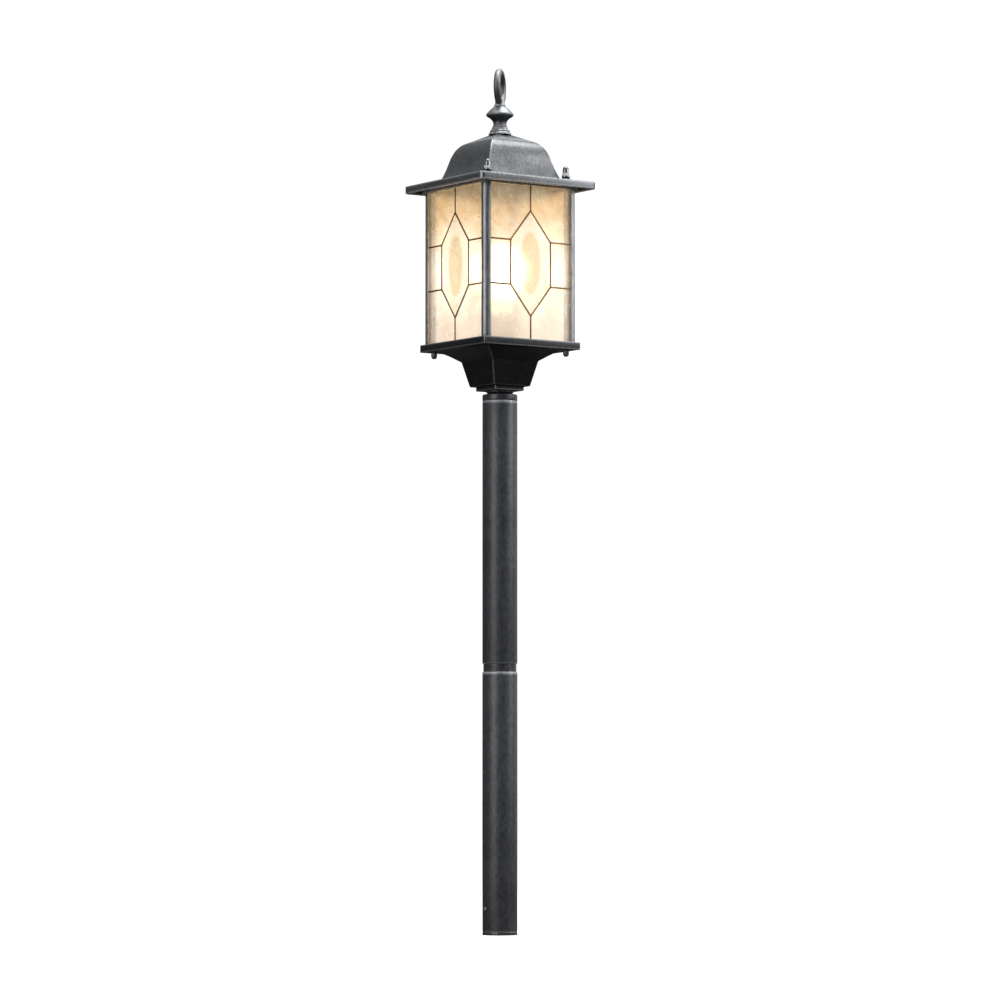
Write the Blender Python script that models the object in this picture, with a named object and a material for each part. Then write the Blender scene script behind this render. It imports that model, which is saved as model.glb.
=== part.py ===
"""Garden post lantern: a square glazed lantern on a two-piece round pole.

Metres, +Z up. The origin is the centre of the pole's foot, at ground level. The lantern's sides are
parallel to X and Y. Corner 1 is (-X, -Y), and corners and sides are counted anticlockwise from above,
so side 1 faces -Y, side 2 +X, side 3 +Y and side 4 -X.
"""

import math

import bmesh
import bpy
from mathutils import Matrix, Vector

# Clearance left between two pieces that touch
GAP = 0.0003

# Pole: two tubes of one diameter, plugged at the foot, coupled in the middle and capped by a collar
POLE_RADIUS = 0.0200
POLE_WALL = 0.0015
POLE_SIDES = 32
TUBE_CHAMFER = 0.0006
SPIGOT_RADIUS = 0.0180
FLANGE_TOP = 0.0038
PLUG_TOP = 0.0450
PLUG_BORE_RADIUS = 0.0070
PLUG_SCREW_Z = 0.0295
LOWER_TUBE_TOP = 0.2983
COUPLING_RING_HEIGHT = 0.0087
COUPLING_RING_RADIUS = 0.01895
COUPLING_SPIGOT_LENGTH = 0.0363
COUPLING_BORE_RADIUS = 0.0120
UPPER_TUBE_LENGTH = 0.3004
COLLAR_RADIUS = 0.02005
COLLAR_HEIGHT = 0.0070
COLLAR_SPIGOT_LENGTH = 0.0330
COLLAR_CHAMFER = 0.0010

# Threaded nipple that carries the cable and clamps the lantern to the collar
NIPPLE_RADIUS = 0.0050
NIPPLE_BORE_RADIUS = 0.0035
NIPPLE_BOTTOM = 0.5660
NIPPLE_TOP = 0.6680
NIPPLE_HOLE_RADIUS = 0.0053
NIPPLE_NUT_RADIUS = 0.0081
NIPPLE_NUT_HEIGHT = 0.0047

# Turning ring between collar and lantern
NECK_BOTTOM_RADIUS = 0.0140
NECK_TOP_RADIUS = 0.0162
NECK_HEIGHT = 0.0036

# Base casting: square step, hopper, flare and plate, as (half side, corner radius, z)
BASE_BOTTOM = 0.6195
BASE_TOP = 0.6739
BASE_HALF = 0.0665
BASE_FLOOR = 0.6280
BASE_OUTSIDE = (
    (0.0196, 0.0010, BASE_BOTTOM),
    (0.0200, 0.0012, 0.6199),
    (0.0200, 0.0012, 0.6243),
    (0.0247, 0.0010, 0.6245),
    (0.0253, 0.0012, 0.6254),
    (0.0321, 0.0015, 0.6532),
    (0.0510, 0.0020, 0.6655),
    (BASE_HALF, 0.0020, 0.6655),
    (BASE_HALF, 0.0020, BASE_TOP),
)
BASE_INSIDE = (
    (0.0460, 0.0020, BASE_TOP),
    (0.0460, 0.0020, 0.6675),
    (0.0288, 0.0015, 0.6535),
    (0.0223, 0.0015, BASE_FLOOR),
)

# Cage: four corner posts held between base and roof by tie rods
CAGE_HALF = 0.0634
CAGE_BOTTOM = BASE_TOP + GAP
CAGE_TOP = 0.8492
POST_LEG = 0.0080
POST_THICKNESS = 0.0016
POST_CHAMFER = 0.0042
POST_BOSS_RADIUS = 0.0030
POST_BORE_RADIUS = 0.0024
ROD_RADIUS = 0.0020
ROD_HOLE_RADIUS = 0.0023
ROD_OFFSET = 0.0543
ROD_BOTTOM = 0.6600
ROD_TOP = 0.8730
# Rod 1 ends in a blind hole in the base, and rod 4 in one in the roof
BLIND_ROD_BOTTOM = 0.6690
BLIND_ROD_TOP = 0.8555
ROD_ENDS = (
    (BLIND_ROD_BOTTOM, ROD_TOP),
    (ROD_BOTTOM, ROD_TOP),
    (ROD_BOTTOM, ROD_TOP),
    (ROD_BOTTOM, BLIND_ROD_TOP),
)
BASE_NUT_CORNERS = (1, 2, 3)
ROOF_NUT_CORNERS = (0, 1, 2)

# Glazing, as distances out from the lantern's axis; the lattice lies on the pane
HEX_CENTRE_Z = 0.7604
PANE_HALF_WIDTH = 0.0569
PANE_BACK = 0.0586
PANE_FRONT = 0.0611
CAME_BACK = PANE_FRONT + GAP
CAME_FRONT = 0.0623
CAME_HALF_WIDTH = 0.0009
CAME_REACH = CAGE_HALF - POST_LEG - GAP
HEX_HALF_WIDTH = 0.0275
HEX_SHOULDER = 0.0255
HEX_APEX = 0.0600
LENS_EDGE_FRONT = 0.0610
LENS_FRONT = 0.0620
LENS_BEVEL = 0.0060

# Roof: brim, ogee dome and underside, as (half side, corner radius, z)
GASKET_HEIGHT = 0.0023
GASKET_OUTER = 0.0623
GASKET_INNER = 0.0572
ROOF_BOTTOM = CAGE_TOP + GAP
REBATE_HALF = GASKET_OUTER + GAP
REBATE_Z = ROOF_BOTTOM + GASKET_HEIGHT + GAP
BRIM_HALF = 0.0800
BRIM_HEIGHT = 0.0086
BRIM_TOP = ROOF_BOTTOM + BRIM_HEIGHT
BRIM_EDGE = 0.0010
BRIM_LIP = 0.0030
BRIM_RECESS = 0.0045
SEAT_HALF = 0.0645
ROOF_WALL = 0.0030
# Dome's outside above the brim, as (half side, corner radius, height)
DOME = (
    (0.0526, 0.0030, 0.0000),
    (0.0506, 0.0026, 0.0050),
    (0.0480, 0.0020, 0.0110),
    (0.0450, 0.0015, 0.0167),
    (0.0433, 0.0012, 0.0220),
    (0.0411, 0.0012, 0.0309),
    (0.0393, 0.0012, 0.0355),
    (0.0370, 0.0012, 0.0402),
    (0.0333, 0.0012, 0.0448),
    (0.0303, 0.0012, 0.0471),
    (0.0097, 0.0010, 0.0566),
)
BOSS_RADIUS = 0.0045
BOSS_HEIGHT = 0.0035
WASHER_RADIUS = 0.0048
WASHER_HEIGHT = 0.0020
NUT_FLANGE_RADIUS = 0.0049
NUT_FLANGE_HEIGHT = 0.0048
NUT_DOME_RADIUS = 0.0036
NUT_HEIGHT = 0.0124
BASE_NUT_RADIUS = 0.0035
BASE_NUT_HEIGHT = 0.0076

# Finial: petalled collar, turned knob and lifting loop with its foot and stem
STEM_RADIUS = 0.0030
STEM_HOLE_RADIUS = 0.0034
STEM_BOTTOM = 0.9010
COLLAR_PETALS = 8
PETAL_DEPTH = 0.05
FINIAL_BOTTOM = BRIM_TOP + DOME[-1][2] + GAP
FINIAL_COLLAR = ((0.0130, 0.0), (0.0136, 0.0012), (0.0131, 0.0032), (0.0112, 0.0060), (0.0094, 0.0083))
KNOB_BOTTOM = FINIAL_BOTTOM + FINIAL_COLLAR[-1][1] + GAP
KNOB = (
    (0.0090, 0.0000),
    (0.0076, 0.0037),
    (0.0091, 0.0082),
    (0.0114, 0.0105),
    (0.0148, 0.0129),
    (0.0161, 0.0152),
    (0.0144, 0.0175),
    (0.0100, 0.0221),
    (0.0074, 0.0241),
)
LOOP_CENTRE_Z = 0.9701
LOOP_RADIUS = 0.0179
LOOP_ROD_RADIUS = 0.0040
LOOP_FOOT_BOTTOM = KNOB_BOTTOM + KNOB[-1][1] + GAP
LOOP_FOOT = (
    (0.0066, 0.0000),
    (0.0071, 0.0008),
    (0.0067, 0.0024),
    (0.0058, 0.0031),
    (0.0055, 0.0080),
    (0.0030, 0.0100),
)
LOOP_WASHER_RADIUS = 0.0080
LOOP_WASHER_HEIGHT = 0.0015
LOOP_NUT_RADIUS = 0.0062
LOOP_NUT_HEIGHT = 0.0050

# Lamp: E27 holder on the nipple, with an A60 bulb
HOLDER_RADIUS = 0.0190
HOLDER_BOTTOM = 0.6620
HOLDER_FLOOR = 0.6760
HOLDER_TOP = 0.7060
HOLDER_BORE_RADIUS = 0.0136
CAP_RADIUS = 0.0131
CAP_WALL = 0.0008
CAP_BOTTOM = 0.6853
CAP_TOP = 0.7110
BULB_RADIUS = 0.0300
BULB_CENTRE_Z = 0.7600
BULB_NECK_RADIUS = 0.0140
BULB_WALL = 0.0010
TERMINAL_SIZE = (0.0120, 0.0180, 0.0100)
TERMINAL_CENTRE = (-0.0150, 0.0, 0.6390)
LEAD_RADIUS = 0.0010
EARTH_SCREW_X = 0.0150

# Facets
CORNER_STEPS = 3
ROUND_SIDES = 24
SMALL_SIDES = 12
QUARTER = math.pi / 2


def material(name, color, metallic, roughness, alpha=1.0, glow=0.0):
    result = bpy.data.materials.new(name)
    result.use_nodes = True
    shader = result.node_tree.nodes["Principled BSDF"]
    shader.inputs["Base Color"].default_value = (*color, 1.0)
    shader.inputs["Metallic"].default_value = metallic
    shader.inputs["Roughness"].default_value = roughness
    shader.inputs["Alpha"].default_value = alpha
    shader.inputs["Emission Color"].default_value = (*color, 1.0)
    shader.inputs["Emission Strength"].default_value = glow
    return result


def square_ring(half, corner, z):
    """Points of a square with rounded corners, anticlockwise from above."""
    points = []
    for k in range(4):
        centre = Matrix.Rotation(k * QUARTER, 2) @ Vector((half - corner, half - corner))
        for j in range(CORNER_STEPS + 1):
            angle = (k + j / CORNER_STEPS) * QUARTER
            points.append((centre.x + corner * math.cos(angle), centre.y + corner * math.sin(angle), z))
    return points


def hole_ring(radius, z):
    """A circle with as many points as a square ring, lined up with it."""
    count = 4 * (CORNER_STEPS + 1)
    angles = [(i + 0.5) * 2 * math.pi / count for i in range(count)]
    return [(radius * math.cos(a), radius * math.sin(a), z) for a in angles]


def circle(radius, sides):
    angles = [i * 2 * math.pi / sides for i in range(sides)]
    return [(radius * math.cos(a), radius * math.sin(a)) for a in angles]


def finish_mesh(bm, name):
    bmesh.ops.recalc_face_normals(bm, faces=bm.faces)
    mesh = bpy.data.meshes.new(name)
    bm.to_mesh(mesh)
    bm.free()
    mesh.shade_smooth()
    mesh.set_sharp_from_angle(angle=math.radians(32))
    return mesh


def skin(name, rings, loop):
    """Joins each ring to the next. A loop also joins the last to the first; otherwise both ends are capped."""
    bm = bmesh.new()
    rows = [[bm.verts.new(point) for point in ring] for ring in rings]
    following = rows[1:] + rows[:1] if loop else rows[1:]
    for low, high in zip(rows, following):
        for i in range(len(low)):
            j = (i + 1) % len(low)
            bm.faces.new((low[i], low[j], high[j], high[i]))
    if not loop:
        bm.faces.new(rows[0])
        bm.faces.new(rows[-1])
    return finish_mesh(bm, name)


def turned(name, profile, sides, loop=True):
    """A profile of (radius, z) points turned about Z."""
    rings = [[(x, y, z) for x, y in circle(radius, sides)] for radius, z in profile]
    return skin(name, rings, loop)


def plate(name, outlines, back, front):
    """A flat shape between two heights. The first outline is its edge, and the others are holes in it."""
    bm = bmesh.new()
    for outline in outlines:
        verts = [bm.verts.new((x, y, back)) for x, y in outline]
        for i, vert in enumerate(verts):
            bm.edges.new((vert, verts[(i + 1) % len(verts)]))
    bmesh.ops.triangle_fill(bm, edges=bm.edges[:], use_beauty=True)
    bmesh.ops.dissolve_limit(bm, angle_limit=0.001, verts=bm.verts[:], edges=bm.edges[:])
    grown = bmesh.ops.extrude_face_region(bm, geom=bm.faces[:])["geom"]
    moved = [item for item in grown if isinstance(item, bmesh.types.BMVert)]
    bmesh.ops.translate(bm, verts=moved, vec=(0, 0, front - back))
    return finish_mesh(bm, name)


def place(name, mesh, finish, location=(0, 0, 0), rotation=(0, 0, 0), parent=None):
    thing = bpy.data.objects.new(name, mesh)
    bpy.context.scene.collection.objects.link(thing)
    thing.location = location
    thing.rotation_euler = rotation
    if mesh and not mesh.materials:
        mesh.materials.append(finish)
    if parent:
        thing.parent = parent
        thing.matrix_parent_inverse = parent.matrix_world.inverted()
    return thing


def axis(name, location, parent=None):
    """An empty on a joint's axis, for the pieces that move with that joint."""
    empty = place(name, None, None, location, parent=parent)
    bpy.context.view_layer.update()
    return empty


def reshape(target, tool, operation):
    """Cuts a hidden tool out of a piece, or unites it with the piece."""
    tool.hide_render = True
    tool.display_type = "WIRE"
    modifier = target.modifiers.new(tool.name, "BOOLEAN")
    modifier.operation = operation
    modifier.solver = "EXACT"
    modifier.object = tool


def corner_position(k, z):
    turn = Matrix.Rotation(k * QUARTER, 3, "Z")
    return turn @ Vector((-ROD_OFFSET, -ROD_OFFSET, 0)) + Vector((0, 0, z))


def corner_pins(name, radius, low, high, corners):
    """Upright cylinders on the tie rods' axes, used as a tool."""
    bm = bmesh.new()
    for k in corners:
        where = Matrix.Translation(corner_position(k, (low + high) / 2))
        bmesh.ops.create_cone(
            bm,
            cap_ends=True,
            segments=SMALL_SIDES,
            radius1=radius,
            radius2=radius,
            depth=high - low,
            matrix=where,
        )
    return place(name, finish_mesh(bm, name), None)


def pole_tube(name, low, high, finish):
    inner = POLE_RADIUS - POLE_WALL
    edge = POLE_RADIUS - TUBE_CHAMFER
    profile = (
        (inner, low),
        (edge, low),
        (POLE_RADIUS, low + TUBE_CHAMFER),
        (POLE_RADIUS, high - TUBE_CHAMFER),
        (edge, high),
        (inner, high),
    )
    return place(name, turned(name, profile, POLE_SIDES), finish)


def base_plug(finish):
    profile = (
        (PLUG_BORE_RADIUS, 0),
        (POLE_RADIUS, 0),
        (POLE_RADIUS, FLANGE_TOP),
        (SPIGOT_RADIUS, FLANGE_TOP),
        (SPIGOT_RADIUS, PLUG_TOP),
        (PLUG_BORE_RADIUS, PLUG_TOP),
    )
    return place("base_plug", turned("base_plug", profile, POLE_SIDES), finish)


def plug_screws(tube, plug, finish):
    """Two screws across the pole, at -X and +X, through the tube into the plug."""
    head = POLE_RADIUS + GAP
    profile = (
        (0.0015, 0.0140),
        (0.0015, head),
        (0.0030, head),
        (0.0030, head + 0.0005),
        (0.0022, head + 0.0012),
    )
    mesh = turned("plug_screw", profile, SMALL_SIDES, loop=False)
    hole = turned("plug_screw_hole", ((0.0018, 0.0135), (0.0018, 0.0240)), SMALL_SIDES, loop=False)
    for k, side in enumerate((-1, 1), start=1):
        where = (0, 0, PLUG_SCREW_Z)
        turn = (0, side * QUARTER, 0)
        place(f"plug_screw_{k}", mesh, finish, where, turn)
        tool = place(f"plug_screw_hole_{k}", hole, None, where, turn)
        reshape(tube, tool, "DIFFERENCE")
        reshape(plug, tool, "DIFFERENCE")


def coupling(low, high, finish):
    bottom = low - COUPLING_SPIGOT_LENGTH
    top = high + COUPLING_SPIGOT_LENGTH
    profile = (
        (COUPLING_BORE_RADIUS, bottom),
        (SPIGOT_RADIUS, bottom),
        (SPIGOT_RADIUS, low),
        (COUPLING_RING_RADIUS, low),
        (COUPLING_RING_RADIUS, high),
        (SPIGOT_RADIUS, high),
        (SPIGOT_RADIUS, top),
        (COUPLING_BORE_RADIUS, top),
    )
    return place("coupling", turned("coupling", profile, POLE_SIDES), finish)


def pole_collar(low, finish):
    top = low + COLLAR_HEIGHT
    bottom = low - COLLAR_SPIGOT_LENGTH
    profile = (
        (NIPPLE_HOLE_RADIUS, bottom),
        (SPIGOT_RADIUS, bottom),
        (SPIGOT_RADIUS, low),
        (COLLAR_RADIUS, low),
        (COLLAR_RADIUS, top - COLLAR_CHAMFER),
        (COLLAR_RADIUS - COLLAR_CHAMFER, top),
        (NIPPLE_HOLE_RADIUS, top),
    )
    return place("pole_collar", turned("pole_collar", profile, POLE_SIDES), finish)


def make_pole(metal, steel):
    """Root body: everything below the turning ring. Returns the collar's top."""
    plug = base_plug(metal)
    lower = pole_tube("lower_tube", FLANGE_TOP + GAP, LOWER_TUBE_TOP, metal)
    plug_screws(lower, plug, steel)
    ring_low = LOWER_TUBE_TOP + GAP
    ring_high = ring_low + COUPLING_RING_HEIGHT
    coupling(ring_low, ring_high, metal)
    upper_top = ring_high + GAP + UPPER_TUBE_LENGTH
    pole_tube("upper_tube", ring_high + GAP, upper_top, metal)
    pole_collar(upper_top + GAP, metal)
    return upper_top + GAP + COLLAR_HEIGHT


def hex_nut(name, radius, hole_radius, low, height, finish, parent):
    outlines = (circle(radius, 6), circle(hole_radius, SMALL_SIDES))
    return place(name, plate(name, outlines, 0, height), finish, (0, 0, low), parent=parent)


def make_nipple(collar_top, brass, head):
    """Neck ring, nipple and its two nuts."""
    low = collar_top + GAP
    profile = (
        (NIPPLE_HOLE_RADIUS, low),
        (NECK_BOTTOM_RADIUS, low),
        (NECK_TOP_RADIUS, low + NECK_HEIGHT),
        (NIPPLE_HOLE_RADIUS, low + NECK_HEIGHT),
    )
    place("neck_ring", turned("neck_ring", profile, ROUND_SIDES), brass, parent=head)
    profile = (
        (NIPPLE_BORE_RADIUS, NIPPLE_BOTTOM),
        (NIPPLE_RADIUS, NIPPLE_BOTTOM),
        (NIPPLE_RADIUS, NIPPLE_TOP),
        (NIPPLE_BORE_RADIUS, NIPPLE_TOP),
    )
    place("nipple", turned("nipple", profile, SMALL_SIDES), brass, parent=head)
    hole = NIPPLE_HOLE_RADIUS
    spigot_bottom = collar_top - COLLAR_HEIGHT - COLLAR_SPIGOT_LENGTH
    lower = spigot_bottom - GAP - NIPPLE_NUT_HEIGHT
    upper = BASE_FLOOR + GAP
    hex_nut("nipple_lower_nut", NIPPLE_NUT_RADIUS, hole, lower, NIPPLE_NUT_HEIGHT, brass, head)
    hex_nut("nipple_locknut", NIPPLE_NUT_RADIUS, hole, upper, NIPPLE_NUT_HEIGHT, brass, head)


def base_casting(metal, head):
    rings = [square_ring(*section) for section in BASE_OUTSIDE + BASE_INSIDE]
    rings.append(hole_ring(NIPPLE_HOLE_RADIUS, BASE_FLOOR))
    rings.append(hole_ring(NIPPLE_HOLE_RADIUS, BASE_BOTTOM))
    casting = place("base_casting", skin("base_casting", rings, loop=True), metal, parent=head)
    holes = corner_pins("base_rod_holes", ROD_HOLE_RADIUS, 0.6600, 0.6800, BASE_NUT_CORNERS)
    blind = corner_pins("base_blind_hole", ROD_HOLE_RADIUS, BLIND_ROD_BOTTOM - GAP, 0.6800, (0,))
    reshape(casting, holes, "DIFFERENCE")
    reshape(casting, blind, "DIFFERENCE")
    return casting


def earth_screw(casting, brass, head):
    profile = ((0.0014, -0.0030), (0.0014, 0), (0.0032, 0), (0.0032, 0.0010), (0.0022, 0.0020))
    mesh = turned("earth_screw", profile, SMALL_SIDES, loop=False)
    place("earth_screw", mesh, brass, (EARTH_SCREW_X, 0, BASE_FLOOR + GAP), parent=head)
    hole = turned("earth_screw_hole", ((0.0017, -0.0100), (0.0017, 0.0020)), SMALL_SIDES, loop=False)
    tool = place("earth_screw_hole", hole, None, (EARTH_SCREW_X, 0, BASE_FLOOR))
    reshape(casting, tool, "DIFFERENCE")


def post_outline():
    """Corner post's section for corner 1: chamfered angle, web and round boss."""
    rod = CAGE_HALF - ROD_OFFSET
    web_root = POST_THICKNESS + 0.0036
    web_half = 0.0014
    web_end = 0.0043
    half = [
        (POST_CHAMFER, 0),
        (POST_LEG, 0),
        (POST_LEG, POST_THICKNESS),
        (web_root, POST_THICKNESS),
        (web_end + web_half, web_end),
    ]
    meet = math.asin(web_half / math.sqrt(2) / POST_BOSS_RADIUS)
    start = 1.25 * math.pi + meet
    steps = 10
    sweep = 2 * math.pi - 2 * meet
    arc = []
    for i in range(steps + 1):
        angle = start + sweep * i / steps
        arc.append((rod + POST_BOSS_RADIUS * math.cos(angle), rod + POST_BOSS_RADIUS * math.sin(angle)))
    mirrored = [(v, u) for u, v in reversed(half)]
    return [(u - CAGE_HALF, v - CAGE_HALF) for u, v in half + arc + mirrored]


def corner_posts(metal, head):
    bore = [(x - ROD_OFFSET, y - ROD_OFFSET) for x, y in circle(POST_BORE_RADIUS, SMALL_SIDES)]
    mesh = plate("corner_post", (post_outline(), bore), 0, CAGE_TOP - CAGE_BOTTOM)
    for k in range(4):
        place(f"corner_post_{k + 1}", mesh, metal, (0, 0, CAGE_BOTTOM), (0, 0, k * QUARTER), head)


def tie_rods(steel, head):
    for k, (bottom, top) in enumerate(ROD_ENDS):
        name = f"tie_rod_{k + 1}"
        mesh = turned(name, ((ROD_RADIUS, bottom), (ROD_RADIUS, top)), SMALL_SIDES, loop=False)
        place(name, mesh, steel, corner_position(k, 0), parent=head)


def base_nuts(metal, head):
    """Domed nuts under the base plate."""
    top = BASE_NUT_HEIGHT
    profile = (
        (0.0012, 0),
        (0.0027, 0.0010),
        (BASE_NUT_RADIUS, 0.0026),
        (BASE_NUT_RADIUS, top),
        (ROD_HOLE_RADIUS, top),
        (ROD_HOLE_RADIUS, 0.0011),
    )
    mesh = turned("base_nut", profile, SMALL_SIDES, loop=False)
    bottom = BASE_OUTSIDE[-2][2] - GAP - BASE_NUT_HEIGHT
    for k in BASE_NUT_CORNERS:
        place(f"base_nut_{k + 1}", mesh, metal, corner_position(k, bottom), parent=head)


def slant(inset):
    """Upper right edge of the hexagon moved in by inset, as (normal x, normal y, distance)."""
    rise = HEX_APEX - HEX_SHOULDER
    length = math.hypot(HEX_HALF_WIDTH, rise)
    return rise / length, HEX_HALF_WIDTH / length, HEX_HALF_WIDTH * HEX_APEX / length - inset


def hexagon(inset):
    """Long upright hexagon of the glazing, moved in by inset on every side."""
    nx, ny, distance = slant(inset)
    side = HEX_HALF_WIDTH - inset
    shoulder = (distance - nx * side) / ny
    apex = distance / ny
    return [(side, -shoulder), (side, shoulder), (0, apex), (-side, shoulder), (-side, -shoulder), (0, -apex)]


def came_outline():
    """Outer edge of the lattice: the hexagon's border with an arm from each of its six corners."""
    half = CAME_HALF_WIDTH
    nx, ny, distance = slant(-half)
    upper = HEX_SHOULDER + half
    lower = HEX_SHOULDER - half
    quadrant = [
        (half, (distance - nx * half) / ny),
        ((distance - ny * upper) / nx, upper),
        (CAME_REACH, upper),
        (CAME_REACH, lower),
        (HEX_HALF_WIDTH + half, lower),
    ]
    right = quadrant + [(x, -y) for x, y in reversed(quadrant)]
    right = [(half, CAGE_TOP - HEX_CENTRE_Z), *right, (half, CAGE_BOTTOM - HEX_CENTRE_Z)]
    return right + [(-x, y) for x, y in reversed(right)]


def glazing(glass, clear, came, head):
    """Pane, lattice and bevelled lens on each of the four sides."""
    low = CAGE_BOTTOM - HEX_CENTRE_Z
    high = CAGE_TOP - HEX_CENTRE_Z
    width = PANE_HALF_WIDTH
    border = [(-width, low), (width, low), (width, high), (-width, high)]
    pane = plate("glass_pane", (border, hexagon(0)), PANE_BACK, PANE_FRONT)
    lattice = plate("came", (came_outline(), hexagon(CAME_HALF_WIDTH)), CAME_BACK, CAME_FRONT)
    lens_rings = []
    for inset, out in ((GAP, PANE_BACK), (GAP, LENS_EDGE_FRONT), (LENS_BEVEL, LENS_FRONT)):
        lens_rings.append([(x, y, out) for x, y in hexagon(inset)])
    lens = skin("lens", lens_rings, loop=False)
    for k in range(4):
        where = (0, 0, HEX_CENTRE_Z)
        turn = (QUARTER, 0, k * QUARTER)
        place(f"glass_pane_{k + 1}", pane, glass, where, turn, head)
        place(f"came_{k + 1}", lattice, came, where, turn, head)
        place(f"lens_{k + 1}", lens, clear, where, turn, head)


def lead(name, y, finish, head):
    """Insulated wire from the terminal block up to the holder's underside."""
    start = Vector((TERMINAL_CENTRE[0], y, TERMINAL_CENTRE[2] + TERMINAL_SIZE[2] / 2 + GAP))
    end = Vector((-0.0125, y, HOLDER_BOTTOM - GAP))
    bulge = Vector((-0.0050, 0, 0))
    curve = bpy.data.curves.new(name, "CURVE")
    curve.dimensions = "3D"
    curve.bevel_depth = LEAD_RADIUS
    curve.bevel_resolution = 1
    curve.use_fill_caps = True
    spline = curve.splines.new("POLY")
    steps = 8
    spline.points.add(steps)
    for i in range(steps + 1):
        t = i / steps
        point = start.lerp(end, t) + bulge * math.sin(math.pi * t) ** 2
        spline.points[i].co = (*point, 1)
    curve.materials.append(finish)
    wire = bpy.data.objects.new(name, curve)
    bpy.context.scene.collection.objects.link(wire)
    wire.parent = head
    wire.matrix_parent_inverse = head.matrix_world.inverted()


def lamp_fittings(porcelain, brass, plastic, head):
    profile = (
        (NIPPLE_HOLE_RADIUS, HOLDER_BOTTOM),
        (HOLDER_RADIUS, HOLDER_BOTTOM),
        (HOLDER_RADIUS, HOLDER_TOP),
        (HOLDER_BORE_RADIUS, HOLDER_TOP),
        (HOLDER_BORE_RADIUS, HOLDER_FLOOR),
        (NIPPLE_HOLE_RADIUS, HOLDER_FLOOR),
    )
    place("lampholder", turned("lampholder", profile, ROUND_SIDES), porcelain, parent=head)
    floor = HOLDER_FLOOR + GAP
    profile = ((0.0090, floor), (0.0090, floor + 0.0010), (0.0035, floor + 0.0035), (0.0030, floor + 0.0048))
    contact = turned("holder_contact", profile, SMALL_SIDES, loop=False)
    place("holder_contact", contact, brass, parent=head)
    width, depth, height = (side / 2 for side in TERMINAL_SIZE)
    border = [(-width, -depth), (width, -depth), (width, depth), (-width, depth)]
    block = plate("terminal_block", (border,), -height, height)
    place("terminal_block", block, plastic, TERMINAL_CENTRE, parent=head)
    lead("lead_live", -0.0045, plastic, head)
    lead("lead_neutral", 0.0045, plastic, head)


def bulb_profile(shrink):
    """Outside of the bulb from top to neck, moved in by shrink."""
    radius = BULB_RADIUS - shrink
    points = []
    for degrees in (84, 66, 46, 26, 6, -14, -34):
        angle = math.radians(degrees)
        points.append((radius * math.cos(angle), BULB_CENTRE_Z + radius * math.sin(angle)))
    neck = BULB_NECK_RADIUS - shrink
    points.append((neck + 0.0040, 0.7310))
    points.append((neck, 0.7180))
    points.append((neck, CAP_TOP + GAP))
    return points


def make_bulb(glow, cap_metal, brass, bulb):
    outside = bulb_profile(0)
    inside = bulb_profile(BULB_WALL)[::-1]
    glass = turned("bulb_glass", outside + inside, ROUND_SIDES, loop=False)
    place("bulb_glass", glass, glow, parent=bulb)
    inner = CAP_RADIUS - CAP_WALL
    profile = (
        (0.0070, CAP_BOTTOM),
        (0.0085, CAP_BOTTOM),
        (CAP_RADIUS, CAP_BOTTOM + 0.0030),
        (CAP_RADIUS, CAP_TOP),
        (inner, CAP_TOP),
        (inner, CAP_BOTTOM + 0.0038),
        (0.0070, CAP_BOTTOM + 0.0010),
    )
    place("bulb_cap", turned("bulb_cap", profile, ROUND_SIDES), cap_metal, parent=bulb)
    profile = ((0.0040, 0.6825), (0.0064, 0.6835), (0.0064, 0.6850), (0.0060, 0.6860))
    contact = turned("bulb_contact", profile, SMALL_SIDES, loop=False)
    place("bulb_contact", contact, brass, parent=bulb)


def dome_inside():
    """Inner wall of the roof from its top down to the rebate that holds the gasket."""
    rings = []
    for half, corner, height in reversed(DOME[1:-1]):
        rings.append((half - ROOF_WALL, corner, BRIM_TOP + height - ROOF_WALL * 0.4))
    opening = DOME[0][0] - ROOF_WALL
    rings.append((opening, DOME[0][1], BRIM_TOP - ROOF_WALL * 0.4))
    rings.append((opening, DOME[0][1], REBATE_Z))
    rings.append((REBATE_HALF, 0.0040, REBATE_Z))
    rings.append((REBATE_HALF, 0.0040, ROOF_BOTTOM))
    return rings


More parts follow.
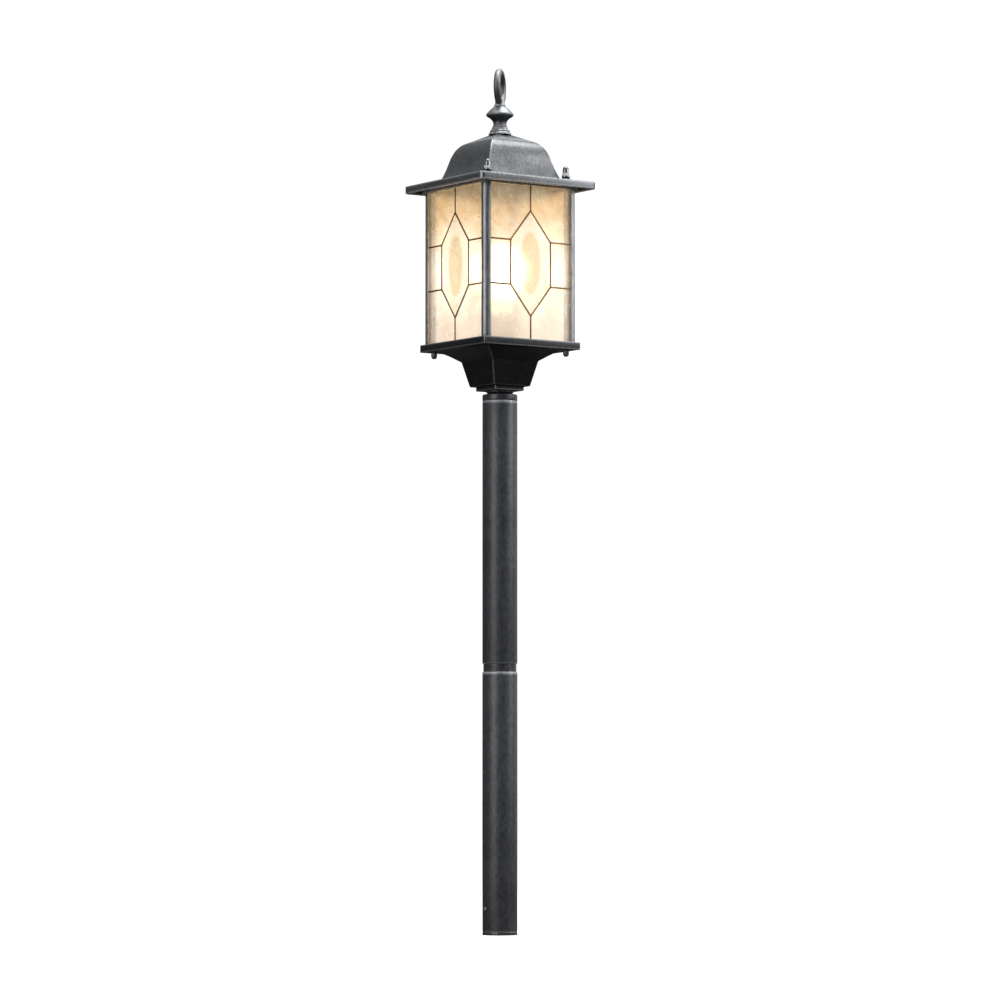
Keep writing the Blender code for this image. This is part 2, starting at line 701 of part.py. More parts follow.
def roof_casting(metal, roof):
    top_z = BRIM_TOP + DOME[-1][2]
    underside_z = top_z - ROOF_WALL
    corner = 0.0060
    lip_half = BRIM_HALF - BRIM_LIP
    sections = [
        (SEAT_HALF, 0.0020, ROOF_BOTTOM),
        (SEAT_HALF, 0.0020, ROOF_BOTTOM + BRIM_RECESS),
        (lip_half, corner - BRIM_LIP, ROOF_BOTTOM + BRIM_RECESS),
        (lip_half, corner - BRIM_LIP, ROOF_BOTTOM),
        (BRIM_HALF - BRIM_EDGE, corner - BRIM_EDGE, ROOF_BOTTOM),
        (BRIM_HALF, corner, ROOF_BOTTOM + BRIM_EDGE),
        (BRIM_HALF, corner, BRIM_TOP - BRIM_EDGE),
        (BRIM_HALF - BRIM_EDGE, corner - BRIM_EDGE, BRIM_TOP),
    ]
    sections += [(half, radius, BRIM_TOP + height) for half, radius, height in DOME]
    rings = [square_ring(*section) for section in sections]
    rings.append(hole_ring(STEM_HOLE_RADIUS, top_z))
    rings.append(hole_ring(STEM_HOLE_RADIUS, underside_z))
    rings.append(square_ring(0.0090, 0.0010, underside_z))
    rings += [square_ring(*section) for section in dome_inside()]
    casting = place("roof_casting", skin("roof_casting", rings, loop=True), metal, parent=roof)
    boss_top = BRIM_TOP + BOSS_HEIGHT
    below = ROOF_BOTTOM - 0.0050
    bosses = corner_pins("roof_bosses", BOSS_RADIUS, BRIM_TOP - 0.0030, boss_top, ROOF_NUT_CORNERS)
    holes = corner_pins("roof_rod_holes", ROD_HOLE_RADIUS, below, boss_top + 0.0050, ROOF_NUT_CORNERS)
    blind = corner_pins("roof_blind_hole", ROD_HOLE_RADIUS, below, BLIND_ROD_TOP + GAP, (3,))
    reshape(casting, bosses, "UNION")
    reshape(casting, holes, "DIFFERENCE")
    reshape(casting, blind, "DIFFERENCE")


def roof_gasket(rubber, roof):
    low = CAGE_TOP + GAP
    high = low + GASKET_HEIGHT
    sections = (
        (GASKET_OUTER, 0.0040, low),
        (GASKET_OUTER, 0.0040, high),
        (GASKET_INNER, 0.0012, high),
        (GASKET_INNER, 0.0012, low),
    )
    rings = [square_ring(*section) for section in sections]
    place("roof_gasket", skin("roof_gasket", rings, loop=True), rubber, parent=roof)


def roof_fixings(steel, rubber, roof):
    """Sealing washers and domed nuts on three tie rods, each with its origin on the rod's axis."""
    profile = (
        (ROD_HOLE_RADIUS, 0),
        (WASHER_RADIUS, 0),
        (WASHER_RADIUS, WASHER_HEIGHT),
        (ROD_HOLE_RADIUS, WASHER_HEIGHT),
    )
    washer = turned("roof_washer", profile, SMALL_SIDES)
    blind = ROD_TOP - BRIM_TOP - BOSS_HEIGHT - WASHER_HEIGHT - GAP
    profile = (
        (0.0012, NUT_HEIGHT),
        (0.0026, NUT_HEIGHT - 0.0010),
        (NUT_DOME_RADIUS, NUT_HEIGHT - 0.0026),
        (NUT_DOME_RADIUS, NUT_FLANGE_HEIGHT),
        (NUT_FLANGE_RADIUS, NUT_FLANGE_HEIGHT - 0.0008),
        (NUT_FLANGE_RADIUS, 0),
        (ROD_HOLE_RADIUS, 0),
        (ROD_HOLE_RADIUS, blind),
    )
    nut = turned("roof_nut", profile, SMALL_SIDES, loop=False)
    washer_z = BRIM_TOP + BOSS_HEIGHT + GAP
    nut_z = washer_z + WASHER_HEIGHT + GAP
    for k in ROOF_NUT_CORNERS:
        place(f"roof_washer_{k + 1}", washer, rubber, corner_position(k, washer_z), parent=roof)
        place(f"roof_nut_{k + 1}", nut, steel, corner_position(k, nut_z), parent=roof)


def finial_collar(metal, roof):
    """Collar whose edge is scalloped into petals."""
    rings = [[(x, y, 0) for x, y in circle(STEM_HOLE_RADIUS, 4 * COLLAR_PETALS)]]
    for radius, z in FINIAL_COLLAR:
        ring = []
        for x, y in circle(radius, 4 * COLLAR_PETALS):
            swell = 1 + PETAL_DEPTH * (math.cos(COLLAR_PETALS * math.atan2(y, x)) - 1) / 2
            ring.append((x * swell, y * swell, z))
        rings.append(ring)
    rings.append([(x, y, FINIAL_COLLAR[-1][1]) for x, y in circle(STEM_HOLE_RADIUS, 4 * COLLAR_PETALS)])
    mesh = skin("finial_collar", rings, loop=True)
    place("finial_collar", mesh, metal, (0, 0, FINIAL_BOTTOM), parent=roof)


def finial_knob(metal, roof):
    profile = ((STEM_HOLE_RADIUS, 0), *KNOB, (STEM_HOLE_RADIUS, KNOB[-1][1]))
    mesh = turned("finial_knob", profile, ROUND_SIDES)
    place("finial_knob", mesh, metal, (0, 0, KNOB_BOTTOM), parent=roof)


def loop_bolt(metal, roof):
    """Upright ring in the plane through corners 1 and 3, united with its foot and the stem below."""
    along = Vector((1, 1, 0)).normalized()
    across = Vector((1, -1, 0)).normalized()
    up = Vector((0, 0, 1))
    rings = []
    steps = 28
    for i in range(steps):
        turn = 2 * math.pi * i / steps
        out = along * math.cos(turn) + up * math.sin(turn)
        centre = out * LOOP_RADIUS
        rings.append([centre + out * u + across * v for u, v in circle(LOOP_ROD_RADIUS, 10)])
    bolt = place("loop_bolt", skin("loop_bolt", rings, loop=True), metal, (0, 0, LOOP_CENTRE_Z), parent=roof)
    profile = [(STEM_RADIUS, STEM_BOTTOM), (STEM_RADIUS, LOOP_FOOT_BOTTOM)]
    profile += [(radius, LOOP_FOOT_BOTTOM + z) for radius, z in LOOP_FOOT]
    stem = place("loop_stem", turned("loop_stem", profile, ROUND_SIDES, loop=False), None)
    reshape(bolt, stem, "UNION")


def make_roof(metal, rubber, steel, roof):
    roof_gasket(rubber, roof)
    roof_casting(metal, roof)
    roof_fixings(steel, rubber, roof)
    finial_collar(metal, roof)
    finial_knob(metal, roof)
    loop_bolt(metal, roof)
    washer_z = BRIM_TOP + DOME[-1][2] - ROOF_WALL - GAP - LOOP_WASHER_HEIGHT
    profile = (
        (STEM_HOLE_RADIUS, 0),
        (LOOP_WASHER_RADIUS, 0),
        (LOOP_WASHER_RADIUS, LOOP_WASHER_HEIGHT),
        (STEM_HOLE_RADIUS, LOOP_WASHER_HEIGHT),
    )
    washer = turned("loop_washer", profile, SMALL_SIDES)
    place("loop_washer", washer, steel, (0, 0, washer_z), parent=roof)
    nut_z = washer_z - GAP - LOOP_NUT_HEIGHT
    hex_nut("loop_nut", LOOP_NUT_RADIUS, STEM_HOLE_RADIUS, nut_z, LOOP_NUT_HEIGHT, steel, roof)


def main():
    for old in list(bpy.data.objects):
        bpy.data.objects.remove(old, do_unlink=True)
    metal = material("patinated_metal", (0.10, 0.10, 0.10), 0.6, 0.45)
    steel = material("zinc_steel", (0.55, 0.55, 0.53), 1.0, 0.35)
    brass = material("brass", (0.70, 0.55, 0.28), 1.0, 0.30)
    rubber = material("rubber", (0.03, 0.03, 0.03), 0.0, 0.70)
    came = material("copper_came", (0.30, 0.18, 0.09), 0.7, 0.40)
    glass = material("amber_glass", (0.85, 0.66, 0.42), 0.0, 0.35, alpha=0.6)
    clear = material("clear_glass", (0.95, 0.88, 0.74), 0.0, 0.05, alpha=0.4)
    porcelain = material("porcelain", (0.85, 0.83, 0.78), 0.0, 0.20)
    plastic = material("terminal_plastic", (0.80, 0.78, 0.70), 0.0, 0.45)
    cap_metal = material("cap_aluminium", (0.75, 0.75, 0.76), 1.0, 0.30)
    glow = material("bulb_glass", (1.00, 0.86, 0.62), 0.0, 0.25, glow=6.0)

    collar_top = make_pole(metal, steel)
    head = axis("head_axis", (0, 0, collar_top + GAP))
    make_nipple(collar_top, brass, head)
    casting = base_casting(metal, head)
    earth_screw(casting, brass, head)
    corner_posts(metal, head)
    tie_rods(steel, head)
    base_nuts(metal, head)
    glazing(glass, clear, came, head)
    lamp_fittings(porcelain, brass, plastic, head)
    make_bulb(glow, cap_metal, brass, axis("bulb_axis", (0, 0, CAP_BOTTOM), head))
    make_roof(metal, rubber, steel, axis("roof_axis", (0, 0, ROOF_BOTTOM), head))


main()
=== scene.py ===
"""Looks of the garden post lantern: fine meshes, materials, lamp light, studio and camera.

Metres, +Z up, in the CAD frame: the origin is the centre of the pole's foot. Levels and outer sizes come
from the CAD nodes' boxes. Corner 1 is (-X, -Y) and side 1 faces -Y; both count anticlockwise from above.
"""

import math

import bmesh
import bpy
from mathutils import Matrix, Vector


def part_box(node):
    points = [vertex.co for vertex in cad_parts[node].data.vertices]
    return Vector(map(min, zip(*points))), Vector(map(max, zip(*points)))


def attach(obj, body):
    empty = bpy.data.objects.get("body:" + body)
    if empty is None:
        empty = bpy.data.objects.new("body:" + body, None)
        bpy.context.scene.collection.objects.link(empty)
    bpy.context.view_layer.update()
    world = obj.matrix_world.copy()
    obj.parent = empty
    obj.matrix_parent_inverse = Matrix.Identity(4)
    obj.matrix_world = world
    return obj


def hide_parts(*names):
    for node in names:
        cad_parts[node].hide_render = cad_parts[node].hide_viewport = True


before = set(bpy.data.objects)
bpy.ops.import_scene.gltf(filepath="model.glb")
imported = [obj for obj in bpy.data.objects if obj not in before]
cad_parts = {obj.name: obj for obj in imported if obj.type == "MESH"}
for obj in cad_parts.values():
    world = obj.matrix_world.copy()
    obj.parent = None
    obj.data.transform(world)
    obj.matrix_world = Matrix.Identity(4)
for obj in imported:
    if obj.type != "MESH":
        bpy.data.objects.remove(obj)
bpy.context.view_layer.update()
MM = 0.001
TURN = 2 * math.pi
QUARTER = math.pi / 2
ROUND = 96
CORNER_STEPS = 8
SMOOTH_ANGLE = math.radians(34)
LENS_CREASE = math.radians(3)

# Radii that several pieces share.
SPIGOT = 18 * MM
NIPPLE_BORE = 5.3 * MM
STEM_BORE = 3.4 * MM
ROD_BORE = 2.3 * MM
BULB_RADIUS = 30 * MM


def low(node, k=2):
    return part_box(node)[0][k]


def high(node, k=2):
    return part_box(node)[1][k]


def middle(node, k=2):
    return (low(node, k) + high(node, k)) / 2


def radius_of(node):
    return (high(node, 0) - low(node, 0)) / 2


ROD_OFFSET = middle("tie_rod_3", 0)
CAGE_HALF = -low("corner_post_1", 0)
CAGE_BOTTOM = low("corner_post_1")
CAGE_TOP = high("corner_post_1")
HEX_CENTRE = middle("lens_1")
BULB_CENTRE = Vector((0, 0, high("bulb_glass") - BULB_RADIUS))


# ---- mesh tools


def done(bm, name):
    bmesh.ops.recalc_face_normals(bm, faces=bm.faces)
    mesh = bpy.data.meshes.new(name)
    bm.to_mesh(mesh)
    bm.free()
    mesh.shade_smooth()
    mesh.set_sharp_from_angle(angle=SMOOTH_ANGLE)
    return mesh


def skin(name, rings, loop=True):
    """Joins each ring to the next. A loop closes on itself; otherwise both ends are capped."""
    bm = bmesh.new()
    add_skin(bm, rings, loop)
    return done(bm, name)


def add_skin(bm, rings, loop=True):
    rows = [[bm.verts.new(point) for point in ring] for ring in rings]
    following = rows[1:] + rows[:1] if loop else rows[1:]
    for first, second in zip(rows, following):
        for i in range(len(first)):
            j = (i + 1) % len(first)
            bm.faces.new((first[i], first[j], second[j], second[i]))
    if not loop:
        bm.faces.new(rows[0])
        bm.faces.new(rows[-1])


def circle(radius, sides, z=None):
    """Points of a circle about the origin, with a third value if a height is given."""
    points = []
    for i in range(sides):
        angle = TURN * i / sides
        flat = (radius * math.cos(angle), radius * math.sin(angle))
        points.append(flat if z is None else (*flat, z))
    return points


def round_rings(profile, sides, x=0, y=0):
    """Rings of a turned shape that stands at (x, y), from a profile of (radius, z) points."""
    return [[(x + u, y + v, z) for u, v in circle(radius, sides)] for radius, z in profile]


def above(level, points):
    """Points (radius, height) in millimetres, as metres above a level."""
    return [(radius * MM, level + height * MM) for radius, height in points]


def arc(centre, radius, start, end, steps):
    """Points (r, z) along an arc, with angles in degrees."""
    points = []
    for i in range(steps + 1):
        angle = math.radians(start + (end - start) * i / steps)
        points.append((centre[0] + radius * math.cos(angle), centre[1] + radius * math.sin(angle)))
    return points


def smooth(points, per):
    """Catmull-Rom curve through the points, which may have any number of values each."""
    ends = [points[0], *points, points[-1]]
    found = []
    for a, b, c, d in zip(ends, ends[1:], ends[2:], ends[3:]):
        for i in range(per):
            t = i / per
            values = []
            for p, q, r, s in zip(a, b, c, d):
                bend = (2 * p - 5 * q + 4 * r - s) * t * t + (3 * q - p - 3 * r + s) * t**3
                values.append((2 * q + (r - p) * t + bend) / 2)
            found.append(tuple(values))
    return found + [points[-1]]


def square_ring(half, corner, z):
    """A square with rounded corners at height z."""
    points = []
    for k in range(4):
        centre = Matrix.Rotation(k * QUARTER, 2) @ Vector((half - corner, half - corner))
        for j in range(CORNER_STEPS + 1):
            angle = (k + j / CORNER_STEPS) * QUARTER
            points.append((centre.x + corner * math.cos(angle), centre.y + corner * math.sin(angle), z))
    return points


def hole_ring(radius, z):
    """A circle with as many points as a square_ring, so that the two can be joined."""
    count = 4 * (CORNER_STEPS + 1)
    angles = [(i + 0.5) * TURN / count for i in range(count)]
    return [(radius * math.cos(a), radius * math.sin(a), z) for a in angles]


def add_plate(bm, outlines, back, front):
    """A flat shape between two heights: the first outline is its edge, the others are holes."""
    edges = []
    for outline in outlines:
        verts = [bm.verts.new((x, y, back)) for x, y in outline]
        for i, vert in enumerate(verts):
            edges.append(bm.edges.new((vert, verts[(i + 1) % len(verts)])))
    faces = bmesh.ops.triangle_fill(bm, edges=edges, use_beauty=True)["geom"]
    faces = [item for item in faces if isinstance(item, bmesh.types.BMFace)]
    grown = bmesh.ops.extrude_face_region(bm, geom=faces)["geom"]
    moved = [item for item in grown if isinstance(item, bmesh.types.BMVert)]
    bmesh.ops.translate(bm, verts=moved, vec=(0, 0, front - back))


def plate(name, outlines, back, front):
    bm = bmesh.new()
    add_plate(bm, outlines, back, front)
    return done(bm, name)


def thread_rings(radius, depth, pitch, bottom, top, sides, per_turn=6):
    """Rings of a screw thread: the radius falls by depth along a helix, and fades to plain at both ends."""
    rows = max(2, round((top - bottom) / pitch * per_turn))
    rings = []
    for row in range(rows + 1):
        z = bottom + (top - bottom) * row / rows
        fade = min(1.0, (z - bottom) / pitch, (top - z) / pitch)
        ring = []
        for i in range(sides):
            angle = TURN * i / sides
            wave = (1 + math.cos(TURN * z / pitch - angle)) / 2
            r = radius - depth * (1 - fade * wave)
            ring.append((r * math.cos(angle), r * math.sin(angle), z))
        rings.append(ring)
    return rings


def bevel(thing, width, segments=3, angle=30):
    """Rounds the sharp edges and applies the result."""
    modifier = thing.modifiers.new("bevel", "BEVEL")
    modifier.width = width
    modifier.segments = segments
    modifier.limit_method = "ANGLE"
    modifier.angle_limit = math.radians(angle)
    bake_modifiers(thing)


def bake_modifiers(thing):
    graph = bpy.context.evaluated_depsgraph_get()
    mesh = bpy.data.meshes.new_from_object(thing.evaluated_get(graph))
    thing.modifiers.clear()
    thing.data = mesh
    mesh.shade_smooth()
    mesh.set_sharp_from_angle(angle=SMOOTH_ANGLE)


def reshape(thing, mesh, operation):
    """Unites a piece with a tool, or cuts the tool out of it, and removes the tool."""
    tool = bpy.data.objects.new("tool", mesh)
    bpy.context.scene.collection.objects.link(tool)
    modifier = thing.modifiers.new("reshape", "BOOLEAN")
    modifier.operation = operation
    modifier.object = tool
    bake_modifiers(thing)
    bpy.data.objects.remove(tool, do_unlink=True)


def pins(centres, profile, sides=32):
    """Upright turned pins, one on each centre, from a profile of (radius, z)."""
    bm = bmesh.new()
    for x, y in centres:
        add_skin(bm, round_rings(profile, sides, x, y), loop=False)
    return done(bm, "pins")


def drill(thing, centres, radius, bottom, top):
    reshape(thing, pins(centres, ((radius, bottom), (radius, top)), 24), "DIFFERENCE")


def piece(name, mesh, finish, body, nodes, location=(0, 0, 0), rotation=(0, 0, 0)):
    """A visible piece that rides on a body and stands for the CAD nodes given."""
    thing = bpy.data.objects.new(name, mesh)
    bpy.context.scene.collection.objects.link(thing)
    thing.location = location
    thing.rotation_euler = rotation
    mesh.materials.append(finish)
    bpy.context.view_layer.update()
    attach(thing, body)
    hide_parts(*nodes)
    return thing


def built(node_name, ending, rings, finish, body, loop=True, where=(0, 0, 0)):
    """The piece that stands for one CAD node, skinned from rings."""
    name = node_name + ending
    return piece(name, skin(name, rings, loop), finish, body, [node_name], where)


def turned(node_name, ending, profile, finish, body, sides=ROUND, loop=True, where=(0, 0, 0)):
    """The piece that stands for one CAD node, from a profile of (radius, z) points turned about Z."""
    built(node_name, ending, round_rings(profile, sides), finish, body, loop, where)


# ---- materials


def node(tree, kind, inputs=None, **settings):
    """Adds a node. A value in inputs is set if it is plain and linked if it is an output socket."""
    made = tree.nodes.new("ShaderNode" + kind)
    for key, value in settings.items():
        setattr(made, key, value)
    for key, value in (inputs or {}).items():
        connect(tree, made.inputs[key], value)
    return made


def connect(tree, socket, value):
    if isinstance(value, bpy.types.NodeSocket):
        tree.links.new(value, socket)
    else:
        socket.default_value = value


def new_material(name, **inputs):
    material = bpy.data.materials.new(name)
    material.use_nodes = True
    shader = material.node_tree.nodes["Principled BSDF"]
    for key, value in inputs.items():
        shader.inputs[key.replace("_", " ")].default_value = value
    return material, material.node_tree, shader


def stretched(tree, scale):
    """Object coordinates in metres, scaled apart along X, Y and Z."""
    coordinates = node(tree, "TexCoord").outputs["Object"]
    return node(tree, "Mapping", {"Vector": coordinates, "Scale": scale}).outputs["Vector"]


def noise(tree, scale, detail=6.0, roughness=0.6, stretch=(1, 1, 1), distortion=0.0):
    vector = stretched(tree, stretch)
    inputs = {
        "Vector": vector,
        "Scale": scale,
        "Detail": detail,
        "Roughness": roughness,
        "Distortion": distortion,
    }
    return node(tree, "TexNoise", inputs).outputs["Fac"]


def spread(tree, value, start, end, to_low=0.0, to_high=1.0):
    """Maps start..end to to_low..to_high, clamped."""
    inputs = {"Value": value, "From Min": start, "From Max": end, "To Min": to_low, "To Max": to_high}
    return node(tree, "MapRange", inputs).outputs["Result"]


def calc(tree, operation, a, b=0.0, clamp=False):
    return node(tree, "Math", {0: a, 1: b}, operation=operation, use_clamp=clamp).outputs[0]


def blend_colors(tree, factor, a, b):
    mix = node(tree, "Mix", data_type="RGBA")
    connect(tree, mix.inputs["Factor"], factor)
    connect(tree, mix.inputs[6], a)
    connect(tree, mix.inputs[7], b)
    return mix.outputs[2]


def product(tree, first, *others):
    for other in others:
        first = calc(tree, "MULTIPLY", first, other)
    return first


def feed(shader, **sockets):
    """Links sockets to the shader's inputs of the same names, with underscores for spaces."""
    for key, socket in sockets.items():
        shader.id_data.links.new(socket, shader.inputs[key.replace("_", " ")])


def bump(tree, shader, height, strength, distance):
    made = node(tree, "Bump", {"Height": height, "Strength": strength, "Distance": distance})
    feed(shader, Normal=made.outputs["Normal"])


def own_place(tree):
    """X, Y and Z in the piece's own coordinates."""
    return node(tree, "SeparateXYZ", {"Vector": node(tree, "TexCoord").outputs["Object"]}).outputs


def distance_from(tree, point):
    """Distance from a point, in the piece's own coordinates."""
    inputs = {0: node(tree, "TexCoord").outputs["Object"], 1: point}
    return node(tree, "VectorMath", inputs, operation="DISTANCE").outputs["Value"]


def edge_wear(tree, reach):
    """1 on arrises and thin rims and 0 on flats, by how soon rays into the metal come out again."""
    depth = node(tree, "AmbientOcclusion", {"Distance": reach}, samples=8, inside=True).outputs["AO"]
    return spread(tree, depth, 0.95, 0.74)


def upward(tree):
    """Height of the surface's own direction: 1 where it faces up, -1 where it faces down."""
    return node(tree, "SeparateXYZ", {"Vector": node(tree, "NewGeometry").outputs["Normal"]}).outputs["Z"]


def hip_lines(tree):
    """1 along the hips of a square casting, where its sloping and upright faces meet."""
    place = own_place(tree)
    across = [calc(tree, "ABSOLUTE", place[axis]) for axis in "XY"]
    off = calc(tree, "ABSOLUTE", calc(tree, "SUBTRACT", *across))
    sloping = spread(tree, calc(tree, "ABSOLUTE", upward(tree)), 0.99, 0.95)
    return product(tree, spread(tree, off, 1.7 * MM, 0.6 * MM), sloping)


def painted_rim_highlights(tree):
    """Painted highlight at the upper rim of each tube: 1 at the rim, fading down the tube."""
    height = own_place(tree)["Z"]
    rims = []
    for top in (high("lower_tube"), high("upper_tube")):
        fade = calc(tree, "POWER", spread(tree, height, top - 9 * MM, top - 1.2 * MM), 3.5)
        rims.append(product(tree, fade, calc(tree, "LESS_THAN", height, top + 0.1 * MM)))
    return calc(tree, "MAXIMUM", *rims)


LACQUER = (0.014, 0.015, 0.017, 1)
SILVER = (0.66, 0.68, 0.71, 1)


def patina(
    name, silver, rubbed, reach, stretch=(1, 1, 1), variety=0.5, sheen=0.38, lines=None, painted_top_light=(1, 1)
):
    """Black lacquer under a silver sheen, rubbed bright on edges; hollows dark from dry-brushing and painted
    shade.

    silver is how much lies on flats, rubbed how much on edges, and reach how far in an edge is rubbed.
    variety is how uneven the silver is and sheen is the roughness. lines gives further places that are
    rubbed, and on the tubes paints a highlight at their rims. The last argument is how much of the silver
    lies on faces that look down and on faces that look up, which paints light from above.
    """
    material, tree, shader = new_material(name)
    strokes = noise(tree, 300, detail=6, roughness=0.65, stretch=stretch)
    clouds = noise(tree, 28, detail=3, roughness=0.5)
    grain = noise(tree, 1700, detail=2)
    soft = variety * 0.6
    cloudy = spread(tree, clouds, 0.3, 0.7, 1 - soft, 1 + soft)
    streaky = spread(tree, strokes, 0.34, 0.66, 1 - variety, 1 + variety)
    speckled = spread(tree, grain, 0.25, 0.75, 0.82, 1.18)
    # Dry-brushed silver stays out of hollows, and this also paints shade there.
    recess = node(tree, "AmbientOcclusion", {"Distance": 6 * MM}, samples=6).outputs["AO"]
    dry_brush_and_painted_shade = spread(tree, recess, 0.45, 0.95, 0.15, 1.0)
    # Painted light from above: more silver on faces that look up, less on faces that look down.
    painted_overhead_light = spread(tree, upward(tree), -0.5, 0.8, *painted_top_light)
    silver_and_painted_light = product(tree, cloudy, streaky, speckled, silver, dry_brush_and_painted_shade, painted_overhead_light)
    edges = edge_wear(tree, reach)
    # lines adds rubbed hips on the castings, and a painted highlight at the tubes' rims.
    if lines:
        edges = calc(tree, "MAXIMUM", edges, lines(tree))
    patchy = spread(tree, strokes, 0.34, 0.58, 0.45, 1.0)
    wear_and_painted_highlight = product(tree, edges, patchy, rubbed)
    cover = calc(tree, "MAXIMUM", silver_and_painted_light, wear_and_painted_highlight, clamp=True)
    feed(
        shader,
        Base_Color=blend_colors(tree, cover, LACQUER, SILVER),
        Metallic=spread(tree, wear_and_painted_highlight, 0.0, 1.0, 0.85, 0.35),
        Roughness=spread(tree, strokes, 0.3, 0.7, sheen - 0.05, sheen + 0.05),
    )
    relief = calc(tree, "ADD", product(tree, strokes, 0.5), product(tree, grain, 0.5))
    bump(tree, shader, relief, 0.3 * variety, 0.12 * MM)
    return material


def plain_metal(name, color, roughness, metallic=1.0, scale=900, variety=0.25):
    """Plated or drawn metal with fine grain and slightly tarnished patches."""
    material, tree, shader = new_material(name, Metallic=metallic)
    grain = noise(tree, scale, detail=4)
    clouds = noise(tree, scale / 12, detail=3)
    dull = tuple(channel * (1 - variety) for channel in color)
    shade = blend_colors(tree, spread(tree, clouds, 0.35, 0.7), (*color, 1), (*dull, 1))
    gloss = spread(tree, grain, 0.3, 0.7, roughness * 0.8, roughness * 1.3)
    feed(shader, Base_Color=shade, Roughness=gloss)
    bump(tree, shader, grain, 0.2, 0.1 * MM)
    return material


def moulded(name, color, roughness, scale=1400, depth=0.12):
    """Rubber, plastic or porcelain: an even colour broken by a fine texture and faint soiling."""
    material, tree, shader = new_material(name)
    grain = noise(tree, scale, detail=3)
    soil = noise(tree, scale / 20, detail=5)
    dull = tuple(channel * 0.78 for channel in color)
    shade = blend_colors(tree, spread(tree, soil, 0.45, 0.8), (*color, 1), (*dull, 1))
    gloss = spread(tree, grain, 0.3, 0.7, roughness * 0.85, roughness * 1.15)
    feed(shader, Base_Color=shade, Roughness=gloss)
    bump(tree, shader, grain, depth, 0.1 * MM)
    return material


def painted_lamp_glow(tree):
    """Painted lamp light on the glazing: 1 beside the lamp, falling to 0 at 100 mm from its centre, in the
    glazing's own coordinates.
    """
    distance = distance_from(tree, (0, BULB_CENTRE.z - HEX_CENTRE, 0))
    return calc(tree, "POWER", spread(tree, distance, 100 * MM, 55 * MM), 2.0)


def pane_color(tree, mottle, height, shade):
    """Champagne tint: golden at the top, cream at the foot, clouded by mottle and browned by shade, the
    painted shade of the corner posts.
    """
    rise = spread(tree, height, 0.0, 75 * MM)
    deep = blend_colors(tree, rise, (0.91, 0.80, 0.68, 1), (0.78, 0.58, 0.33, 1))
    pale = blend_colors(tree, rise, (1.0, 0.93, 0.84, 1), (0.97, 0.82, 0.60, 1))
    clouded = blend_colors(tree, mottle, deep, pale)
    return blend_colors(tree, shade, clouded, (0.56, 0.37, 0.18, 1))


def seeded_glass():
    """Champagne glass, lightly frosted and clouded, with painted shade beside the corner posts and glowing
    with painted lamp light.
    """
    material, tree, shader = new_material("champagne_glass", IOR=1.45, Transmission_Weight=0.85)
    ripples = noise(tree, 90, detail=4, roughness=0.5, distortion=0.8)
    clouds = noise(tree, 30, detail=8, roughness=0.7, distortion=0.6)
    place = own_place(tree)
    width = high("glass_pane_1", 0)
    # Painted shade beside the corner posts, where the dark posts show through the glass.
    shade = spread(tree, calc(tree, "ABSOLUTE", place["X"]), width - 6 * MM, width, 0.0, 0.6)
    color = pane_color(tree, spread(tree, clouds, 0.36, 0.64), place["Y"], shade)
    feed(
        shader,
        Base_Color=color,
        # The pane glows with painted lamp light: faintly all over and most beside the lamp.
        Emission_Color=color,
        Roughness=spread(tree, ripples, 0.3, 0.7, 0.14, 0.30),
        Emission_Strength=spread(tree, painted_lamp_glow(tree), 0.0, 1.0, 0.09, 0.45),
    )
    bump(tree, shader, ripples, 0.3, 0.8 * MM)
    return material


def lens_glass():
    """Clear bevelled glass with slow waves, tinted tan in an oval in the middle, glowing with painted lamp
    light.
    """
    # Emission here is painted lamp light: the lens glows beside the lamp, least in the tan oval.
    material, tree, shader = new_material(
        "bevelled_glass", IOR=1.5, Transmission_Weight=0.9, Emission_Color=(1.0, 0.88, 0.72, 1)
    )
    waves = noise(tree, 45, detail=2, roughness=0.4)
    oval_half = (0.52 * high("lens_1", 0), 0.60 * (high("lens_1") - low("lens_1")) / 2)
    inputs = {0: node(tree, "TexCoord").outputs["Object"], 1: (1 / oval_half[0], 1 / oval_half[1], 0)}
    scaled = node(tree, "VectorMath", inputs, operation="MULTIPLY").outputs["Vector"]
    away = node(tree, "VectorMath", {0: scaled}, operation="LENGTH").outputs["Value"]
    oval = spread(tree, away, 1.08, 0.92)
    clear = blend_colors(tree, spread(tree, waves, 0.3, 0.7), (0.98, 0.91, 0.77, 1), (1.0, 0.96, 0.88, 1))
    feed(
        shader,
        Base_Color=blend_colors(tree, oval, clear, (0.91, 0.78, 0.58, 1)),
        Roughness=spread(tree, waves, 0.3, 0.7, 0.20, 0.36),
        Emission_Strength=product(tree, painted_lamp_glow(tree), spread(tree, oval, 0.0, 1.0, 0.24, 0.05)),
    )
    bump(tree, shader, waves, 0.3, 1.0 * MM)
    return material


def lit_bulb():
    """Frosted lamp glass, brightest in the middle."""
    material, tree, shader = new_material("lit_bulb_glass", Roughness=0.3)
    frost = noise(tree, 600, detail=3)
    heat = spread(tree, distance_from(tree, tuple(BULB_CENTRE)), 45 * MM, 26 * MM)
    color = blend_colors(tree, heat, (1.0, 0.72, 0.42, 1), (1.0, 0.90, 0.74, 1))
    strength = spread(tree, heat, 0.0, 1.0, 1.0, 3.0)
    feed(shader, Base_Color=color, Emission_Color=color, Emission_Strength=strength)
    bump(tree, shader, frost, 0.15, 0.1 * MM)
    return material


